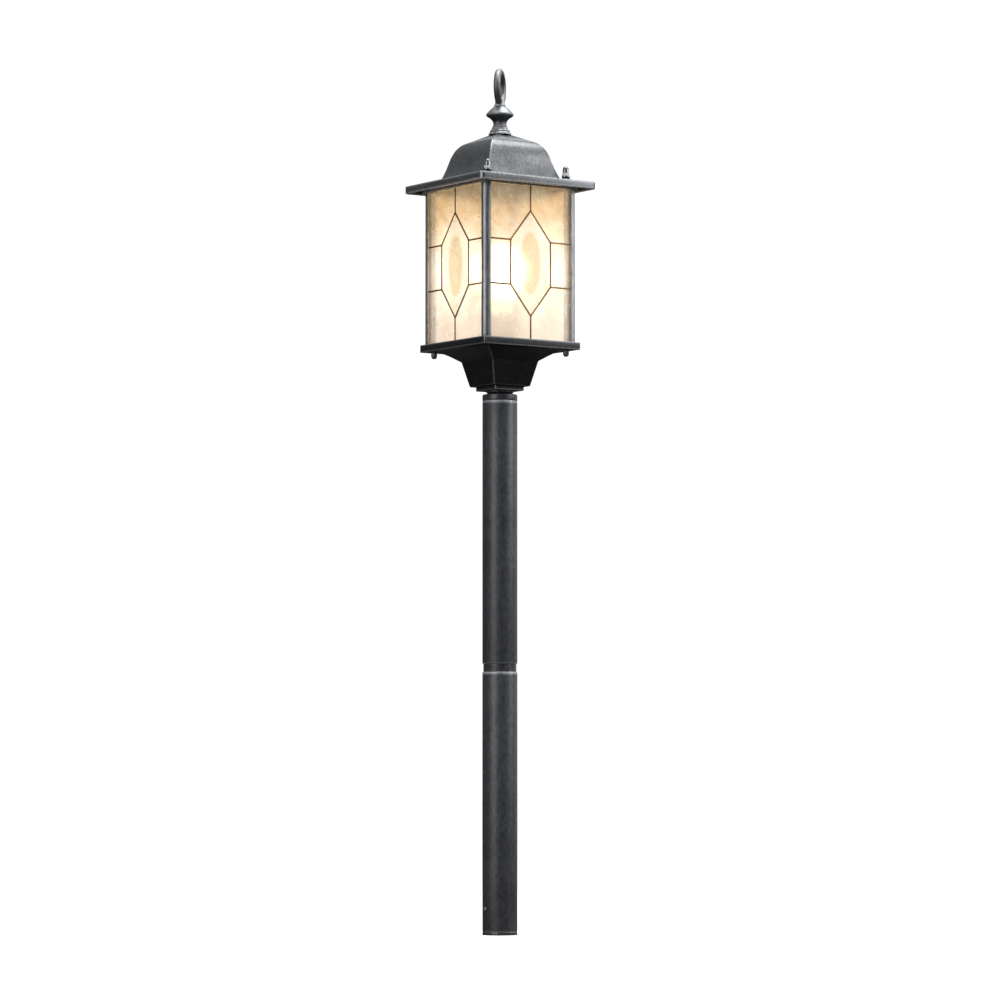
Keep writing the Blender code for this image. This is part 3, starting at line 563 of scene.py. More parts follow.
# The last pair on each line paints light from above: more silver on faces that look up than on faces that
# look down.
ROOF_METAL = patina("patina_roof", 0.285, 1.0, 2.9 * MM, variety=0.3, lines=hip_lines, painted_top_light=(0.35, 1.5))
FINIAL_METAL = patina("patina_finial", 0.46, 1.0, 2.4 * MM, variety=0.15, sheen=0.52, painted_top_light=(0.08, 1.6))
PETAL_METAL = patina("patina_petals", 0.85, 1.0, 1.8 * MM, variety=0.2, sheen=0.50, painted_top_light=(0.5, 1.3))
BASE_METAL = patina("patina_base", 0.035, 0.38, 2.2 * MM, lines=hip_lines)
# The tubes get a painted highlight at their upper rims.
TUBE_METAL = patina("patina_tube", 0.155, 1.0, 1.3 * MM, (1, 1, 0.5), 0.28, sheen=0.50, lines=painted_rim_highlights)
RING_METAL = patina("patina_ring", 0.13, 0.5, 0.8 * MM, sheen=0.45)
POST_METAL = patina("patina_post", 0.36, 0.75, 0.8 * MM, (1, 1, 0.2), 0.3)
STEEL = plain_metal("zinc_plate", (0.36, 0.37, 0.38), 0.30)
BRASS = plain_metal("brass_turned", (0.72, 0.53, 0.25), 0.28)
ALUMINIUM = plain_metal("lamp_cap_aluminium", (0.78, 0.78, 0.79), 0.25)
CAME_METAL = plain_metal("copper_lead", (0.23, 0.125, 0.055), 0.42, metallic=0.8, scale=500, variety=0.45)
RUBBER = moulded("black_rubber", (0.022, 0.022, 0.023), 0.62)
PORCELAIN = moulded("glazed_porcelain", (0.86, 0.83, 0.76), 0.16, scale=300, depth=0.04)
PLASTIC = moulded("terminal_nylon", (0.80, 0.76, 0.64), 0.40)
BLUE_WIRE = moulded("blue_sleeve", (0.03, 0.12, 0.42), 0.38)
BROWN_WIRE = moulded("brown_sleeve", (0.16, 0.06, 0.03), 0.38)
GLASS = seeded_glass()
LENS = lens_glass()
BULB = lit_bulb()


# ---- pole


def make_tube(node_name):
    bottom, top = low(node_name), high(node_name)
    radius = radius_of(node_name)
    wall, lip = 1.5 * MM, 0.6 * MM
    profile = arc((radius - lip, bottom + lip), lip, -90, 0, 4)
    profile += arc((radius - lip, top - lip), lip, 0, 90, 4)
    profile += [(radius - wall, top), (radius - wall, bottom)]
    turned(node_name, "_skin", profile, TUBE_METAL, "pole")


def make_plug():
    """Thin flange at the foot, with a spigot in the lower tube and a hole for the cable."""
    top = high("base_plug")
    radius = radius_of("base_plug")
    flange, edge, chamfer, bore = 3.8 * MM, 0.5 * MM, 1.5 * MM, 7 * MM
    profile = [(bore, 0)]
    profile += arc((radius - edge, edge), edge, -90, 0, 3)
    profile += arc((radius - edge, flange - edge), edge, 0, 90, 3)
    profile += [(SPIGOT, flange), (SPIGOT, top - chamfer), (SPIGOT - chamfer, top), (bore, top)]
    turned("base_plug", "_turned", profile, BASE_METAL, "pole")


def make_plug_screws():
    """Screws with pan heads, on the pole's left and right."""
    shank, head = 14.0 * MM, 20.3 * MM
    pan = above(head, ((3.0, 0), (3.0, 0.5), (2.7, 0.85), (1.9, 1.1), (0.9, 1.18)))
    thread = thread_rings(1.5 * MM, 0.25 * MM, 0.7 * MM, shank, head, sides=16)
    for k, side in ((1, -1), (2, 1)):
        node_name = f"plug_screw_{k}"
        bm = bmesh.new()
        add_skin(bm, round_rings(pan, 32), loop=False)
        add_skin(bm, thread, loop=False)
        name = node_name + "_pan"
        where, turn = (0, 0, middle(node_name)), (0, side * QUARTER, 0)
        piece(name, done(bm, name), STEEL, "pole", [node_name], where, turn)


def make_coupling():
    """Spigots into both tubes with a ring between them that has two fine grooves."""
    bottom, top = low("coupling"), high("coupling")
    ring_low = high("lower_tube") + 0.3 * MM
    ring_high = low("upper_tube") - 0.3 * MM
    radius = radius_of("coupling")
    bore, groove, chamfer = 12 * MM, 0.35 * MM, 1 * MM
    step = (ring_high - ring_low) / 3
    profile = [(bore, bottom), (SPIGOT - chamfer, bottom), (SPIGOT, bottom + chamfer), (SPIGOT, ring_low)]
    for k in range(3):
        start = ring_low + k * step
        profile += [(radius - groove, start + 0.1 * MM), (radius, start + 0.45 * MM)]
        profile += [(radius, start + step - 0.45 * MM), (radius - groove, start + step - 0.1 * MM)]
    profile += [(SPIGOT, ring_high), (SPIGOT, top - chamfer), (SPIGOT - chamfer, top), (bore, top)]
    turned("coupling", "_turned", profile, RING_METAL, "pole")


def make_collar():
    bottom, top = low("pole_collar"), high("pole_collar")
    radius = radius_of("pole_collar")
    shoulder = high("upper_tube") + 0.3 * MM
    lip, edge = 0.4 * MM, 1.0 * MM
    profile = [(NIPPLE_BORE, bottom), (SPIGOT, bottom), (SPIGOT, shoulder)]
    profile += arc((radius - lip, shoulder + lip), lip, -90, 0, 3)
    profile += arc((radius - edge, top - edge), edge, 0, 90, 5)
    profile.append((NIPPLE_BORE, top))
    turned("pole_collar", "_turned", profile, RING_METAL, "pole")


def make_neck():
    bottom, top = low("neck_ring"), high("neck_ring")
    foot = above(bottom, ((13.6, 0), (14.0, 0.3), (14.6, 1.4)))
    rim = above(top, ((16.2, -0.7), (16.2, -0.2), (15.9, 0)))
    profile = [(NIPPLE_BORE, bottom), *foot, *rim, (NIPPLE_BORE, top)]
    turned("neck_ring", "_turned", profile, BASE_METAL, "head")


# ---- base casting and cage


def corners():
    """Centres of corners 1 to 4."""
    r = ROD_OFFSET
    return [(-r, -r), (r, -r), (r, r), (-r, r)]


def make_base():
    """Step, hopper, flare and plate in one casting, from sections (half side, corner radius, z)."""
    bottom, top = low("base_casting"), high("base_casting")
    half = high("base_casting", 0)
    plate_low = top - 8.4 * MM
    floor = bottom + 8.5 * MM
    beyond = 2 * MM
    outside = [
        (19.7 * MM, 1.0 * MM, bottom),
        (20.0 * MM, 1.2 * MM, bottom + 0.3 * MM),
        (20.0 * MM, 1.2 * MM, bottom + 4.7 * MM),
        (24.7 * MM, 1.2 * MM, bottom + 5.0 * MM),
        (25.3 * MM, 1.2 * MM, bottom + 5.9 * MM),
        (32.1 * MM, 1.5 * MM, bottom + 33.7 * MM),
        (41.5 * MM, 2.2 * MM, bottom + 40.2 * MM),
        (51.0 * MM, 2.0 * MM, plate_low),
        (half, 2.0 * MM, plate_low),
        (half, 2.0 * MM, top),
    ]
    inside = [
        (46.0 * MM, 2.0 * MM, top),
        (46.0 * MM, 2.0 * MM, top - 6.4 * MM),
        (28.8 * MM, 1.5 * MM, bottom + 34.0 * MM),
        (22.3 * MM, 1.5 * MM, floor),
    ]
    rings = [square_ring(*section) for section in outside + inside]
    rings += [hole_ring(NIPPLE_BORE, floor), hole_ring(NIPPLE_BORE, bottom)]
    casting = built("base_casting", "_shell", rings, BASE_METAL, "head")
    bevel(casting, 0.7 * MM, angle=24)
    drill(casting, corners()[1:], ROD_BORE, plate_low - beyond, top + beyond)
    drill(casting, corners()[:1], ROD_BORE, low("tie_rod_1") - 0.3 * MM, top + beyond)


def post_outline():
    """Section of corner post 1: chamfered angle with a web to a round boss."""
    rod = CAGE_HALF - ROD_OFFSET
    leg, thick, chamfer, boss = 8.0 * MM, 1.6 * MM, 4.2 * MM, 3.0 * MM
    web = 1.4 * MM
    half = [(chamfer + 0.5 * MM, 0), (leg - 0.3 * MM, 0), (leg, 0.3 * MM), (leg, thick - 0.3 * MM)]
    half += [(leg - 0.3 * MM, thick), (thick + 3.6 * MM, thick), (4.3 * MM + web, 4.3 * MM)]
    meet = math.asin(web / math.sqrt(2) / boss)
    steps = 24
    curve = []
    for i in range(steps + 1):
        angle = 1.25 * math.pi + meet + (TURN - 2 * meet) * i / steps
        curve.append((rod + boss * math.cos(angle), rod + boss * math.sin(angle)))
    mirrored = [(v, u) for u, v in reversed(half)]
    rounding = [(0.12 * MM, chamfer - 0.1 * MM), (chamfer - 0.1 * MM, 0.12 * MM)]
    return [(u - CAGE_HALF, v - CAGE_HALF) for u, v in half + curve + mirrored + rounding]


def make_posts():
    bore = [(x - ROD_OFFSET, y - ROD_OFFSET) for x, y in circle(2.4 * MM, 24)]
    for k in range(4):
        name = f"corner_post_{k + 1}_cast"
        mesh = plate(name, (post_outline(), bore), 0, CAGE_TOP - CAGE_BOTTOM)
        where, turn = (0, 0, CAGE_BOTTOM), (0, 0, k * QUARTER)
        piece(name, mesh, POST_METAL, "head", [f"corner_post_{k + 1}"], where, turn)


def make_rods():
    """Tie rods with M4 threads cut on both ends."""
    radius, depth, pitch, cut = 2.0 * MM, 0.3 * MM, 0.7 * MM, 14 * MM
    for k, (x, y) in enumerate(corners(), start=1):
        bottom, top = low(f"tie_rod_{k}"), high(f"tie_rod_{k}")
        rings = thread_rings(radius, depth, pitch, bottom, bottom + cut, sides=16)
        rings += thread_rings(radius, depth, pitch, top - cut, top, sides=16)
        where = (x, y, 0)
        built(f"tie_rod_{k}", "_threaded", rings, STEEL, "head", loop=False, where=where)


def make_base_nuts():
    """Domed nuts that hang under the plate at corners 2, 3 and 4."""
    bottom, top = low("base_nut_2"), high("base_nut_2")
    radius = radius_of("base_nut_2")
    edge = 0.3 * MM
    profile = above(bottom, ((0.4, 0), (1.6, 0.3), (2.6, 1.0), (3.1, 2.0)))
    profile += [(radius, bottom + 3.2 * MM), (radius, top - edge), (radius - edge, top)]
    profile += [(ROD_BORE, top), (ROD_BORE, bottom + 1.1 * MM)]
    for k, (x, y) in enumerate(corners()[1:], start=2):
        where = (x, y, 0)
        turned(f"base_nut_{k}", "_domed", profile, BASE_METAL, "head", 40, False, where)


# ---- glazing

# The middle light is a tall hexagon about the centre of each side.
HEX_HALF = 27.5 * MM
HEX_SHOULDER = 25.5 * MM
HEX_APEX = 60.0 * MM
CAME_HALF = 0.9 * MM


def slant(inset):
    """The way a slanting side of the hexagon faces, and its distance once moved in by inset."""
    rise = HEX_APEX - HEX_SHOULDER
    length = math.hypot(HEX_HALF, rise)
    return rise / length, HEX_HALF / length, HEX_HALF * HEX_APEX / length - inset


def hexagon(inset):
    nx, ny, distance = slant(inset)
    side = HEX_HALF - inset
    shoulder = (distance - nx * side) / ny
    half = [(side, -shoulder), (side, shoulder), (0, distance / ny)]
    return half + [(-x, -y) for x, y in half]


def came_outline(reach):
    """Outer edge of the lattice, whose bars run up and down the cage and to reach on both sides."""
    nx, ny, distance = slant(-CAME_HALF)
    upper, lower = HEX_SHOULDER + CAME_HALF, HEX_SHOULDER - CAME_HALF
    quadrant = [
        (CAME_HALF, (distance - nx * CAME_HALF) / ny),
        ((distance - ny * upper) / nx, upper),
        (reach, upper),
        (reach, lower),
        (HEX_HALF + CAME_HALF, lower),
    ]
    right = quadrant + [(x, -y) for x, y in reversed(quadrant)]
    right = [(CAME_HALF, CAGE_TOP - HEX_CENTRE), *right, (CAME_HALF, CAGE_BOTTOM - HEX_CENTRE)]
    return right + [(-x, y) for x, y in reversed(right)]


def make_pane(k, where, turn):
    lower, upper = CAGE_BOTTOM - HEX_CENTRE, CAGE_TOP - HEX_CENTRE
    width = high("glass_pane_1", 0)
    back, front = -high("glass_pane_1", 1), -low("glass_pane_1", 1)
    border = [(-width, lower), (width, lower), (width, upper), (-width, upper)]
    name = f"glass_pane_{k}_seeded"
    mesh = plate(name, (border, hexagon(0)), back, front)
    piece(name, mesh, GLASS, "head", [f"glass_pane_{k}"], where, turn)


def make_came(k, where, turn):
    """Lattice with rounded edges and a solder joint over each corner of the hexagon."""
    back, front = -high("came_1", 1), -low("came_1", 1)
    name = f"came_{k}_lattice"
    bm = bmesh.new()
    add_plate(bm, (came_outline(high("came_1", 0)), hexagon(CAME_HALF)), back, front - 0.1 * MM)
    mesh = done(bm, name)
    lattice = piece(name, mesh, CAME_METAL, "head", [f"came_{k}"], where, turn)
    bevel(lattice, 0.3 * MM, segments=2)
    bm = bmesh.new()
    bm.from_mesh(lattice.data)
    solder = above(front, ((1.45, -0.25), (1.4, -0.12), (1.0, -0.03), (0.4, 0.0)))
    for x, y in hexagon(0):
        add_skin(bm, round_rings(solder, 20, x, y), loop=False)
    bm.to_mesh(lattice.data)
    bm.free()


def make_lens(k, where, turn):
    """Clear centre with a ground bevel all round."""
    back, front = -high("lens_1", 1), -low("lens_1", 1)
    edge_front = front - 1.0 * MM
    steps = ((0.3, back + 0.3 * MM), (0.3, edge_front), (0.6, edge_front + 0.15 * MM), (6.0, front))
    rings = [[(x, y, back) for x, y in hexagon(0.6 * MM)]]
    for inset, out in steps:
        rings.append([(x, y, out) for x, y in hexagon(inset * MM)])
    name = f"lens_{k}_bevelled"
    mesh = skin(name, rings, loop=False)
    mesh.set_sharp_from_angle(angle=LENS_CREASE)
    piece(name, mesh, LENS, "head", [f"lens_{k}"], where, turn)


def make_glazing():
    for k in range(4):
        where, turn = (0, 0, HEX_CENTRE), (QUARTER, 0, k * QUARTER)
        make_pane(k + 1, where, turn)
        make_came(k + 1, where, turn)
        make_lens(k + 1, where, turn)


# ---- roof


def dome_sections(base, top):
    """Ogee dome above the brim, as (half side, corner radius, z)."""
    ogee = (
        (52.6, 3.0, 0.0),
        (50.2, 2.6, 5.0),
        (47.6, 2.0, 11.0),
        (45.5, 1.5, 16.7),
        (43.8, 1.2, 22.0),
        (41.2, 1.1, 30.9),
        (39.4, 1.1, 35.5),
        (37.0, 1.1, 40.2),
        (33.3, 1.1, 44.8),
        (30.3, 1.1, 47.1),
    )
    sections = [(half * MM, corner * MM, base + rise * MM) for half, corner, rise in smooth(ogee, 4)]
    return [*sections, (9.7 * MM, 0.9 * MM, top)]


def brim_edge(half, corner, bottom, top):
    """Rounded rim of the brim, from its underside to its top, as (half side, corner radius, z)."""
    edge = 1.0 * MM
    curve = arc((0, bottom + edge), edge, -80, 0, 4) + arc((0, top - edge), edge, 0, 80, 4)
    return [(half - edge + out, corner - edge + out, z) for out, z in curve]


def make_roof():
    """Brim and dome as one shell, with bosses and holes for three nuts and a blind hole at corner 4."""
    bottom, half = low("roof_casting"), high("roof_casting", 0)
    brim_top = bottom + 8.6 * MM
    top = brim_top + 56.6 * MM
    lip, recess, wall, corner = 3.0 * MM, 4.5 * MM, 3.0 * MM, 6.0 * MM
    seat = 64.5 * MM
    sections = [(seat, 2.0 * MM, bottom), (seat, 2.0 * MM, bottom + recess)]
    sections += [(half - lip, corner - lip, bottom + recess), (half - lip, corner - lip, bottom)]
    sections += brim_edge(half, corner, bottom, brim_top)
    sections.append((half - 2.4 * MM, corner - 2 * MM, brim_top))
    dome = dome_sections(brim_top, top)
    rings = [square_ring(*section) for section in sections + dome]
    rings += [hole_ring(STEM_BORE, top), hole_ring(STEM_BORE, top - wall)]
    rings.append(square_ring(9.0 * MM, 1.0 * MM, top - wall))
    for size, radius, z in reversed(dome[1:-1]):
        rings.append(square_ring(size - wall, radius, z - 0.4 * wall))
    rebate = high("roof_gasket", 0) + 0.3 * MM
    rebate_top = high("roof_gasket") + 0.3 * MM
    rings.append(square_ring(dome[0][0] - wall, 3.0 * MM, rebate_top))
    rings += [square_ring(rebate, 4.0 * MM, rebate_top), square_ring(rebate, 4.0 * MM, bottom)]
    casting = built("roof_casting", "_shell", rings, ROOF_METAL, "roof")
    boss = above(brim_top, ((4.5, -2), (4.5, 3.1), (4.1, 3.5)))
    reshape(casting, pins(corners()[:3], boss), "UNION")
    drill(casting, corners()[:3], ROD_BORE, bottom - 2 * MM, brim_top + 6 * MM)
    drill(casting, corners()[3:], ROD_BORE, bottom - 2 * MM, high("tie_rod_4") + 0.3 * MM)


def make_gasket():
    bottom, top = low("roof_gasket"), high("roof_gasket")
    half = high("roof_gasket", 0)
    inner = 57.2 * MM
    edge = 0.5 * MM
    sections = [
        (half - edge, 3.5 * MM, bottom),
        (half, 4.0 * MM, bottom + edge),
        (half, 4.0 * MM, top - edge),
        (half - edge, 3.5 * MM, top),
        (inner, 1.2 * MM, top),
        (inner, 1.2 * MM, bottom),
    ]
    rings = [square_ring(*section) for section in sections]
    built("roof_gasket", "_moulded", rings, RUBBER, "roof")


def make_roof_fixings():
    """Bulged sealing washers, and domed nuts with a flange and a hexagon grip."""
    bulge = arc((3.8 * MM, middle("roof_washer_1")), 1.0 * MM, -90, 90, 8)
    washer = [(ROD_BORE, low("roof_washer_1")), *bulge, (ROD_BORE, high("roof_washer_1"))]
    bottom = low("roof_nut_1")
    shoulder = bottom + 4.8 * MM
    dome = above(high("roof_nut_1"), ((0.3, 0), (1.5, -0.3), (2.6, -1.0), (3.3, -2.1), (3.6, -3.4)))
    dome += [(3.6 * MM, shoulder), (ROD_BORE, shoulder), (ROD_BORE, bottom + 9.1 * MM)]
    flange = above(bottom, ((4.9, 0), (4.9, 1.3), (4.6, 1.6)))
    flange += [(ROD_BORE, bottom + 1.6 * MM), (ROD_BORE, bottom)]
    grip = above(bottom, ((4.2, 1.6), (4.55, 1.8), (4.55, 4.3), (3.9, 4.8)))
    for k, (x, y) in enumerate(corners()[:3], start=1):
        where = (x, y, 0)
        turned(f"roof_washer_{k}", "_seal", washer, RUBBER, f"washer_{k}", 40, where=where)
        bm = bmesh.new()
        add_skin(bm, round_rings(dome, 32), loop=False)
        add_skin(bm, round_rings(flange, 32))
        add_skin(bm, round_rings(grip, 6), loop=False)
        name = f"roof_nut_{k}_domed"
        piece(name, done(bm, name), STEEL, f"nut_{k}", [f"roof_nut_{k}"], where)


def make_finial_collar():
    """Two rows of petals. Each ring has a radius, a rise, and how far in and down it goes between petals."""
    bottom = low("finial_collar")
    rows = (
        (12.6, 0.0, 0.0, 0.0),
        (13.4, 0.5, 0.05, 0.0),
        (13.4, 1.3, 0.07, 0.0),
        (12.7, 2.4, 0.07, 0.0),
        (12.1, 3.1, 0.05, 0.25),
        (11.4, 3.6, 0.04, 0.35),
        (11.9, 4.4, 0.06, 0.35),
        (11.6, 5.2, 0.07, 0.35),
        (10.6, 6.1, 0.05, 0.35),
        (9.7, 6.9, 0.03, 0.30),
        (9.6, 7.6, 0.02, 0.0),
        (9.3, 8.3, 0.0, 0.0),
    )
    petals = 8
    rings = [circle(STEM_BORE, ROUND, bottom)]
    for radius, rise, depth, lift in rows:
        ring = []
        for i in range(ROUND):
            angle = TURN * i / ROUND
            wave = (math.cos(petals * angle) - 1) / 2
            r = radius * MM * (1 + depth * wave)
            ring.append((r * math.cos(angle), r * math.sin(angle), bottom + (rise + lift * wave) * MM))
        rings.append(ring)
    rings.append(circle(STEM_BORE, ROUND, high("finial_collar")))
    built("finial_collar", "_petals", rings, PETAL_METAL, "roof")


def make_knob():
    """Turned knob: foot, hollow neck, sharp belt and a coned cap."""
    bottom, top = low("finial_knob"), high("finial_knob")
    hollow = ((9.0, 0.4), (8.0, 2.0), (7.6, 3.9), (8.0, 6.2), (9.1, 8.3), (11.4, 10.6), (15.2, 13.1))
    belt = ((16.0, 14.2), (16.1, 14.8), (16.0, 15.3), (15.5, 15.9))
    cap = ((14.4, 17.3), (12.2, 19.6), (10.0, 21.8), (7.6, 23.7))
    outline = above(bottom, [(8.6, 0), *smooth(hollow, 4), *belt, *smooth(cap, 3)])
    profile = [(STEM_BORE, bottom), *outline, (7.1 * MM, top), (STEM_BORE, top)]
    turned("finial_knob", "_turned", profile, FINIAL_METAL, "roof")


def make_loop():
    """Cast ring in the plane through corners 1 and 3, on a beaded foot with a threaded stem."""
    top = high("loop_bolt")
    rod = 4.0 * MM
    ring_radius = 17.9 * MM
    centre_z = top - rod - ring_radius
    foot = high("finial_knob") + 0.3 * MM
    along = Vector((1, 1, 0)).normalized()
    across = Vector((1, -1, 0)).normalized()
    up = Vector((0, 0, 1))
    rings = []
    for i in range(ROUND):
        angle = TURN * i / ROUND
        out = along * math.cos(angle) + up * math.sin(angle)
        centre = up * centre_z + out * ring_radius
        rings.append([centre + out * u + across * v for u, v in circle(rod, 32)])
    bm = bmesh.new()
    add_skin(bm, rings)
    bottom, shank = low("loop_bolt"), 3.0 * MM
    thread_top = bottom + 16 * MM
    stem = thread_rings(shank, 0.3 * MM, 1.0 * MM, bottom, thread_top, sides=48)
    stem += [circle(shank, 48, z) for z in (thread_top + 1 * MM, foot)]
    bead = ((6.2, 0.0), (6.6, 0.3), (6.8, 0.9), (6.7, 1.6), (6.3, 2.2), (5.9, 2.6))
    neck = ((5.8, 3.0), (5.6, 5.2), (5.5, 7.4), (4.6, 9.2), (3.0, 10.0))
    stem += round_rings(above(foot, [*bead, *smooth(neck, 3)]), 48)
    add_skin(bm, stem, loop=False)
    name = "loop_bolt_cast"
    piece(name, done(bm, name), FINIAL_METAL, "roof", ["loop_bolt"])


# ---- lamp and wiring


def hex_rings(radius, bottom, top, bore):
    """Rings of a hexagon nut with chamfered corners."""
    rings = []
    chamfer, cut = 0.5 * MM, 0.93 * radius
    flat = radius * math.cos(math.pi / 6)
    for limit, z in ((cut, bottom), (radius, bottom + chamfer), (radius, top - chamfer), (cut, top)):
        ring = []
        for i in range(48):
            angle = TURN * i / 48
            r = min(limit, flat / math.cos((angle % (TURN / 6)) - TURN / 12))
            ring.append((r * math.cos(angle), r * math.sin(angle), z))
        rings.append(ring)
    rings += [circle(bore, 48, top), circle(bore, 48, bottom)]
    return rings


def make_nuts():
    """Plain hexagon nuts on the nipple and on the loop's stem."""
    table = (
        ("nipple_lower_nut", 8.1 * MM, NIPPLE_BORE, BRASS, "head", "brass"),
        ("nipple_locknut", 8.1 * MM, NIPPLE_BORE, BRASS, "head", "brass"),
        ("loop_nut", 6.2 * MM, STEM_BORE, STEEL, "roof", "zinc_steel"),
    )
    for node_name, radius, bore, finish, body, slot in table:
        rings = hex_rings(radius, low(node_name), high(node_name), bore)
        built(node_name, "_hex", rings, finish, body)


def make_nipple():
    """M10 tube, threaded all along."""
    bottom, top = low("nipple"), high("nipple")
    bore = 3.5 * MM
    rings = thread_rings(5.0 * MM, 0.35 * MM, 1.0 * MM, bottom, top, sides=32, per_turn=5)
    rings += [circle(bore, 32, top), circle(bore, 32, bottom)]
    built("nipple", "_threaded", rings, BRASS, "head")


def make_loop_washer():
    bottom, top = low("loop_washer"), high("loop_washer")
    radius, edge = 8 * MM, 0.25 * MM
    profile = [(STEM_BORE, bottom), (radius - edge, bottom), (radius, bottom + edge)]
    profile += [(radius, top - edge), (radius - edge, top), (STEM_BORE, top)]
    turned("loop_washer", "_plate", profile, STEEL, "roof", 48)


def make_holder():
    """Porcelain skirt with a stepped foot, a groove and a rounded mouth."""
    bottom, top = low("lampholder"), high("lampholder")
    radius = radius_of("lampholder")
    foot, groove = radius - 2.6 * MM, radius - 0.7 * MM
    bore, chamfer, edge = 13.6 * MM, 0.8 * MM, 1.2 * MM
    floor = bottom + 14 * MM
    profile = [(NIPPLE_BORE, bottom), (radius - 3.5 * MM, bottom), (foot, bottom + 0.8 * MM)]
    profile += [(foot, bottom + 9 * MM), (radius - 1.2 * MM, bottom + 10.5 * MM), (radius, bottom + 12 * MM)]
    profile += [(radius, bottom + 30 * MM), (groove, bottom + 31 * MM), (groove, bottom + 33 * MM)]
    profile.append((radius, bottom + 34 * MM))
    profile += arc((radius - edge, top - edge), edge, 0, 90, 5)
    profile += [(bore + chamfer, top), (bore, top - chamfer), (bore, floor), (NIPPLE_BORE, floor)]
    turned("lampholder", "_porcelain", profile, PORCELAIN, "head", 72)


def make_contacts():
    """The holder's sprung contact, and the tip of the lamp's cap above it."""
    sprung = ((9.0, 0.0), (9.0, 0.8), (8.6, 1.0), (6.0, 1.2), (4.0, 3.0), (3.4, 4.2), (2.4, 4.7), (0.6, 4.8))
    profile = above(low("holder_contact"), sprung)
    turned("holder_contact", "_sprung", profile, BRASS, "head", 48, loop=False)
    tip = ((0.6, 0.0), (2.6, 0.1), (3.9, 0.5), (5.4, 0.9), (6.4, 1.4), (6.4, 2.5), (6.0, 3.5))
    profile = above(low("bulb_contact"), tip)
    turned("bulb_contact", "_tip", profile, BRASS, "bulb_carrier", 48, loop=False)


def make_cap():
    """E27 cap with its rolled thread."""
    bottom, top = low("bulb_cap"), high("bulb_cap")
    radius, depth, pitch = 13.1 * MM, 0.75 * MM, 3.629 * MM
    skirt, button = bottom + 3.2 * MM, 7.0 * MM
    outside = [(button, bottom), (8.5 * MM, bottom), (12.2 * MM, skirt - 0.4 * MM)]
    inside = [(12.6 * MM, top - 3.4 * MM), (12.9 * MM, top), (12.2 * MM, top)]
    inside += [(11.6 * MM, skirt + 1 * MM), (button, bottom + 0.8 * MM)]
    rings = round_rings(outside, 48)
    rings += thread_rings(radius, depth, pitch, skirt, top - 4 * MM, sides=48, per_turn=12)
    rings += round_rings(inside, 48)
    built("bulb_cap", "_threaded", rings, ALUMINIUM, "bulb")


def bulb_profile(shrink):
    """Outside of the bulb from its top to its neck, moved in by shrink."""
    radius = BULB_RADIUS - shrink
    neck = 14 * MM - shrink
    base = low("bulb_glass")
    points = arc((0, BULB_CENTRE.z), radius, 88.5, -34, 22)
    taper = ((22.0 * MM - shrink, base + 27.3 * MM), (18.4 * MM - shrink, base + 20.0 * MM))
    points += smooth((points[-1], *taper, (neck + 0.9 * MM, base + 10.5 * MM), (neck, base)), 4)[1:]
    return points


def make_bulb():
    profile = bulb_profile(0) + bulb_profile(1.0 * MM)[::-1]
    turned("bulb_glass", "_frosted", profile, BULB, "bulb", 64, loop=False)


def make_terminal():
    """Two-way block: a rounded body with two screw barrels on it."""
    name = "terminal_block_body"
    lowest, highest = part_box("terminal_block")
    half_x, half_y, half_z = [(b - a) / 2 for a, b in zip(lowest, highest)]
    height = 2 * half_z
    border = [(-half_x, -half_y), (half_x, -half_y), (half_x, half_y), (-half_x, half_y)]
    mesh = plate(name, (border,), 0, height * 0.8)
    where = (middle("terminal_block", 0), middle("terminal_block", 1), lowest[2])
    block = piece(name, mesh, PLASTIC, "head", ["terminal_block"], where)
    bevel(block, 0.8 * MM)
    bm = bmesh.new()
    bm.from_mesh(block.data)
    barrel = [(3.6 * MM, height * 0.78), (3.6 * MM, height * 0.96), (3.2 * MM, height), (2.2 * MM, height)]
    barrel.append((2.1 * MM, height * 0.86))
    for y in (-half_y / 2, half_y / 2):
        add_skin(bm, round_rings(barrel, 28, 0, y), loop=False)
    bm.to_mesh(block.data)
    bm.free()


def make_leads():
    """Two sleeved wires from the block up to the holder, on the same arcs as their CAD tubes."""
    bow = Vector((-5 * MM, 0, 0))
    steps = 24
    for node_name, finish in (("lead_live", BROWN_WIRE), ("lead_neutral", BLUE_WIRE)):
        y = middle(node_name, 1)
        start = Vector((-15.0 * MM, y, low(node_name)))
        end = Vector((-12.5 * MM, y, high(node_name)))
        curve = bpy.data.curves.new(node_name + "_sleeve", "CURVE")
        curve.dimensions = "3D"
        curve.bevel_depth = 0.95 * MM
        curve.bevel_resolution = 4
        curve.use_fill_caps = True
        spline = curve.splines.new("POLY")
        spline.points.add(steps)
        for i in range(steps + 1):
            t = i / steps
            spline.points[i].co = (*(start.lerp(end, t) + bow * math.sin(math.pi * t) ** 2), 1)
        piece(node_name + "_sleeve", curve, finish, "head", [node_name])


def make_earth_screw():
    shank, head = 1.4 * MM, high("earth_screw") - 2.0 * MM
    profile = [(shank, low("earth_screw")), (shank, head)]
    profile += above(head, ((3.2, 0), (3.2, 0.9), (2.9, 1.5), (2.0, 1.9), (0.6, 2.0)))
    where = (middle("earth_screw", 0), 0, 0)
    turned("earth_screw", "_pan", profile, BRASS, "head", 32, loop=False, where=where)


# ---- studio


def area_light(name, where, target, size, power):
    data = bpy.data.lights.new(name, "AREA")
    data.shape = "RECTANGLE"
    data.size, data.size_y = size
    data.energy = power
    light = bpy.data.objects.new(name, data)
    light.location = where
    light.rotation_euler = (Vector(target) - Vector(where)).to_track_quat("-Z", "Y").to_euler()
    bpy.context.scene.collection.objects.link(light)


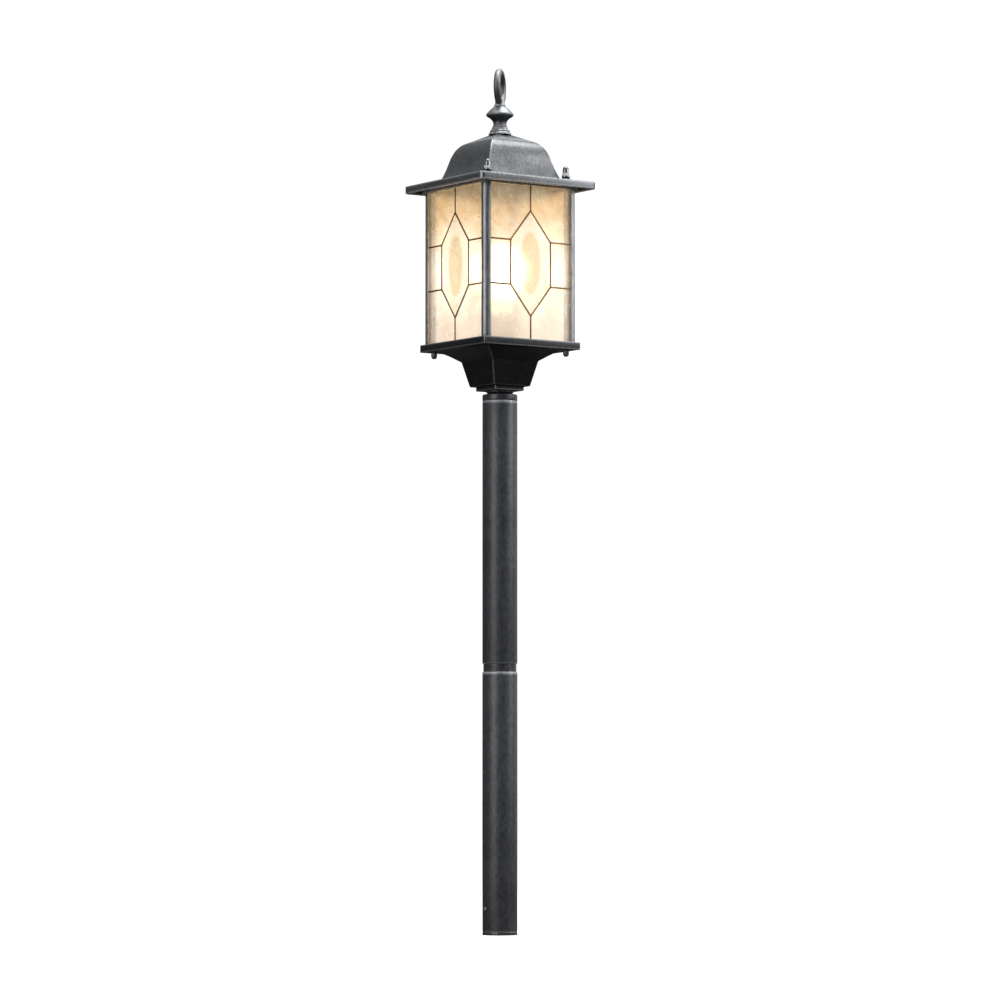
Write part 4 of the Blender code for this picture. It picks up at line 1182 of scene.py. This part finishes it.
def backdrop(tree):
    """1 to the camera, directly and through glass, and 0 to all other light."""
    path = node(tree, "LightPath")
    return calc(tree, "MAXIMUM", path.outputs["Is Camera Ray"], path.outputs["Is Transmission Ray"])


def make_world():
    """White backdrop, with dim and even light for everything else."""
    world = bpy.data.worlds.new("studio")
    bpy.context.scene.world = world
    world.use_nodes = True
    tree = world.node_tree
    background = tree.nodes["Background"]
    background.inputs["Color"].default_value = (1, 1, 1, 1)
    tree.links.new(spread(tree, backdrop(tree), 0.0, 1.0, 0.22, 1.1), background.inputs["Strength"])


def make_floor():
    """Pale floor that runs to the horizon and is dim in the metal's reflections."""
    bm = bmesh.new()
    bmesh.ops.create_grid(bm, x_segments=1, y_segments=1, size=60)
    bmesh.ops.translate(bm, verts=bm.verts, vec=(0, 0, -0.2 * MM))
    floor = bpy.data.objects.new("floor", done(bm, "floor"))
    bpy.context.scene.collection.objects.link(floor)
    white = (1, 1, 1, 1)
    material, tree, shader = new_material("pale_floor", Roughness=0.9, Emission_Color=white)
    seen = backdrop(tree)
    feed(
        shader,
        Base_Color=blend_colors(tree, seen, (0.10, 0.10, 0.10, 1), (0.95, 0.95, 0.95, 1)),
        Emission_Strength=spread(tree, seen, 0.0, 1.0, 0.0, 0.9),
    )
    floor.data.materials.append(material)


def make_camera():
    data = bpy.data.cameras.new("camera")
    data.lens = 151.6
    data.sensor_width = 36
    data.clip_end = 200
    camera = bpy.data.objects.new("camera", data)
    camera.location = (-2.712, -3.961, 0.170)
    camera.rotation_euler = (math.radians(93.87), 0, math.radians(-34.4))
    bpy.context.scene.collection.objects.link(camera)
    bpy.context.scene.camera = camera


def make_studio():
    make_world()
    make_floor()
    make_camera()
    aim = (0, 0, 0.6)
    area_light("overhead", (0.5, -0.3, 3.4), aim, (2.4, 2.4), 66)
    area_light("key", (2.5, -2.3, 1.9), aim, (1.2, 2.0), 47)
    area_light("strip_left", (-2.8, -0.8, 0.7), aim, (0.9, 2.4), 28)
    area_light("rim_right", (2.7, 0.5, 0.9), aim, (0.5, 2.2), 9)
    bpy.context.scene.view_settings.view_transform = "Standard"


make_studio()

# The pole.
make_tube("lower_tube")
make_tube("upper_tube")
make_plug()
make_plug_screws()
make_coupling()
make_collar()

# The head, the lamp in it and all hexagon nuts.
make_neck()
make_base()
make_posts()
make_rods()
make_base_nuts()
make_glazing()
make_nipple()
make_holder()
make_contacts()
make_terminal()
make_leads()
make_earth_screw()
make_cap()
make_bulb()
make_nuts()

# The roof and what holds it.
make_roof()
make_gasket()
make_roof_fixings()
make_finial_collar()
make_knob()
make_loop()
make_loop_washer()
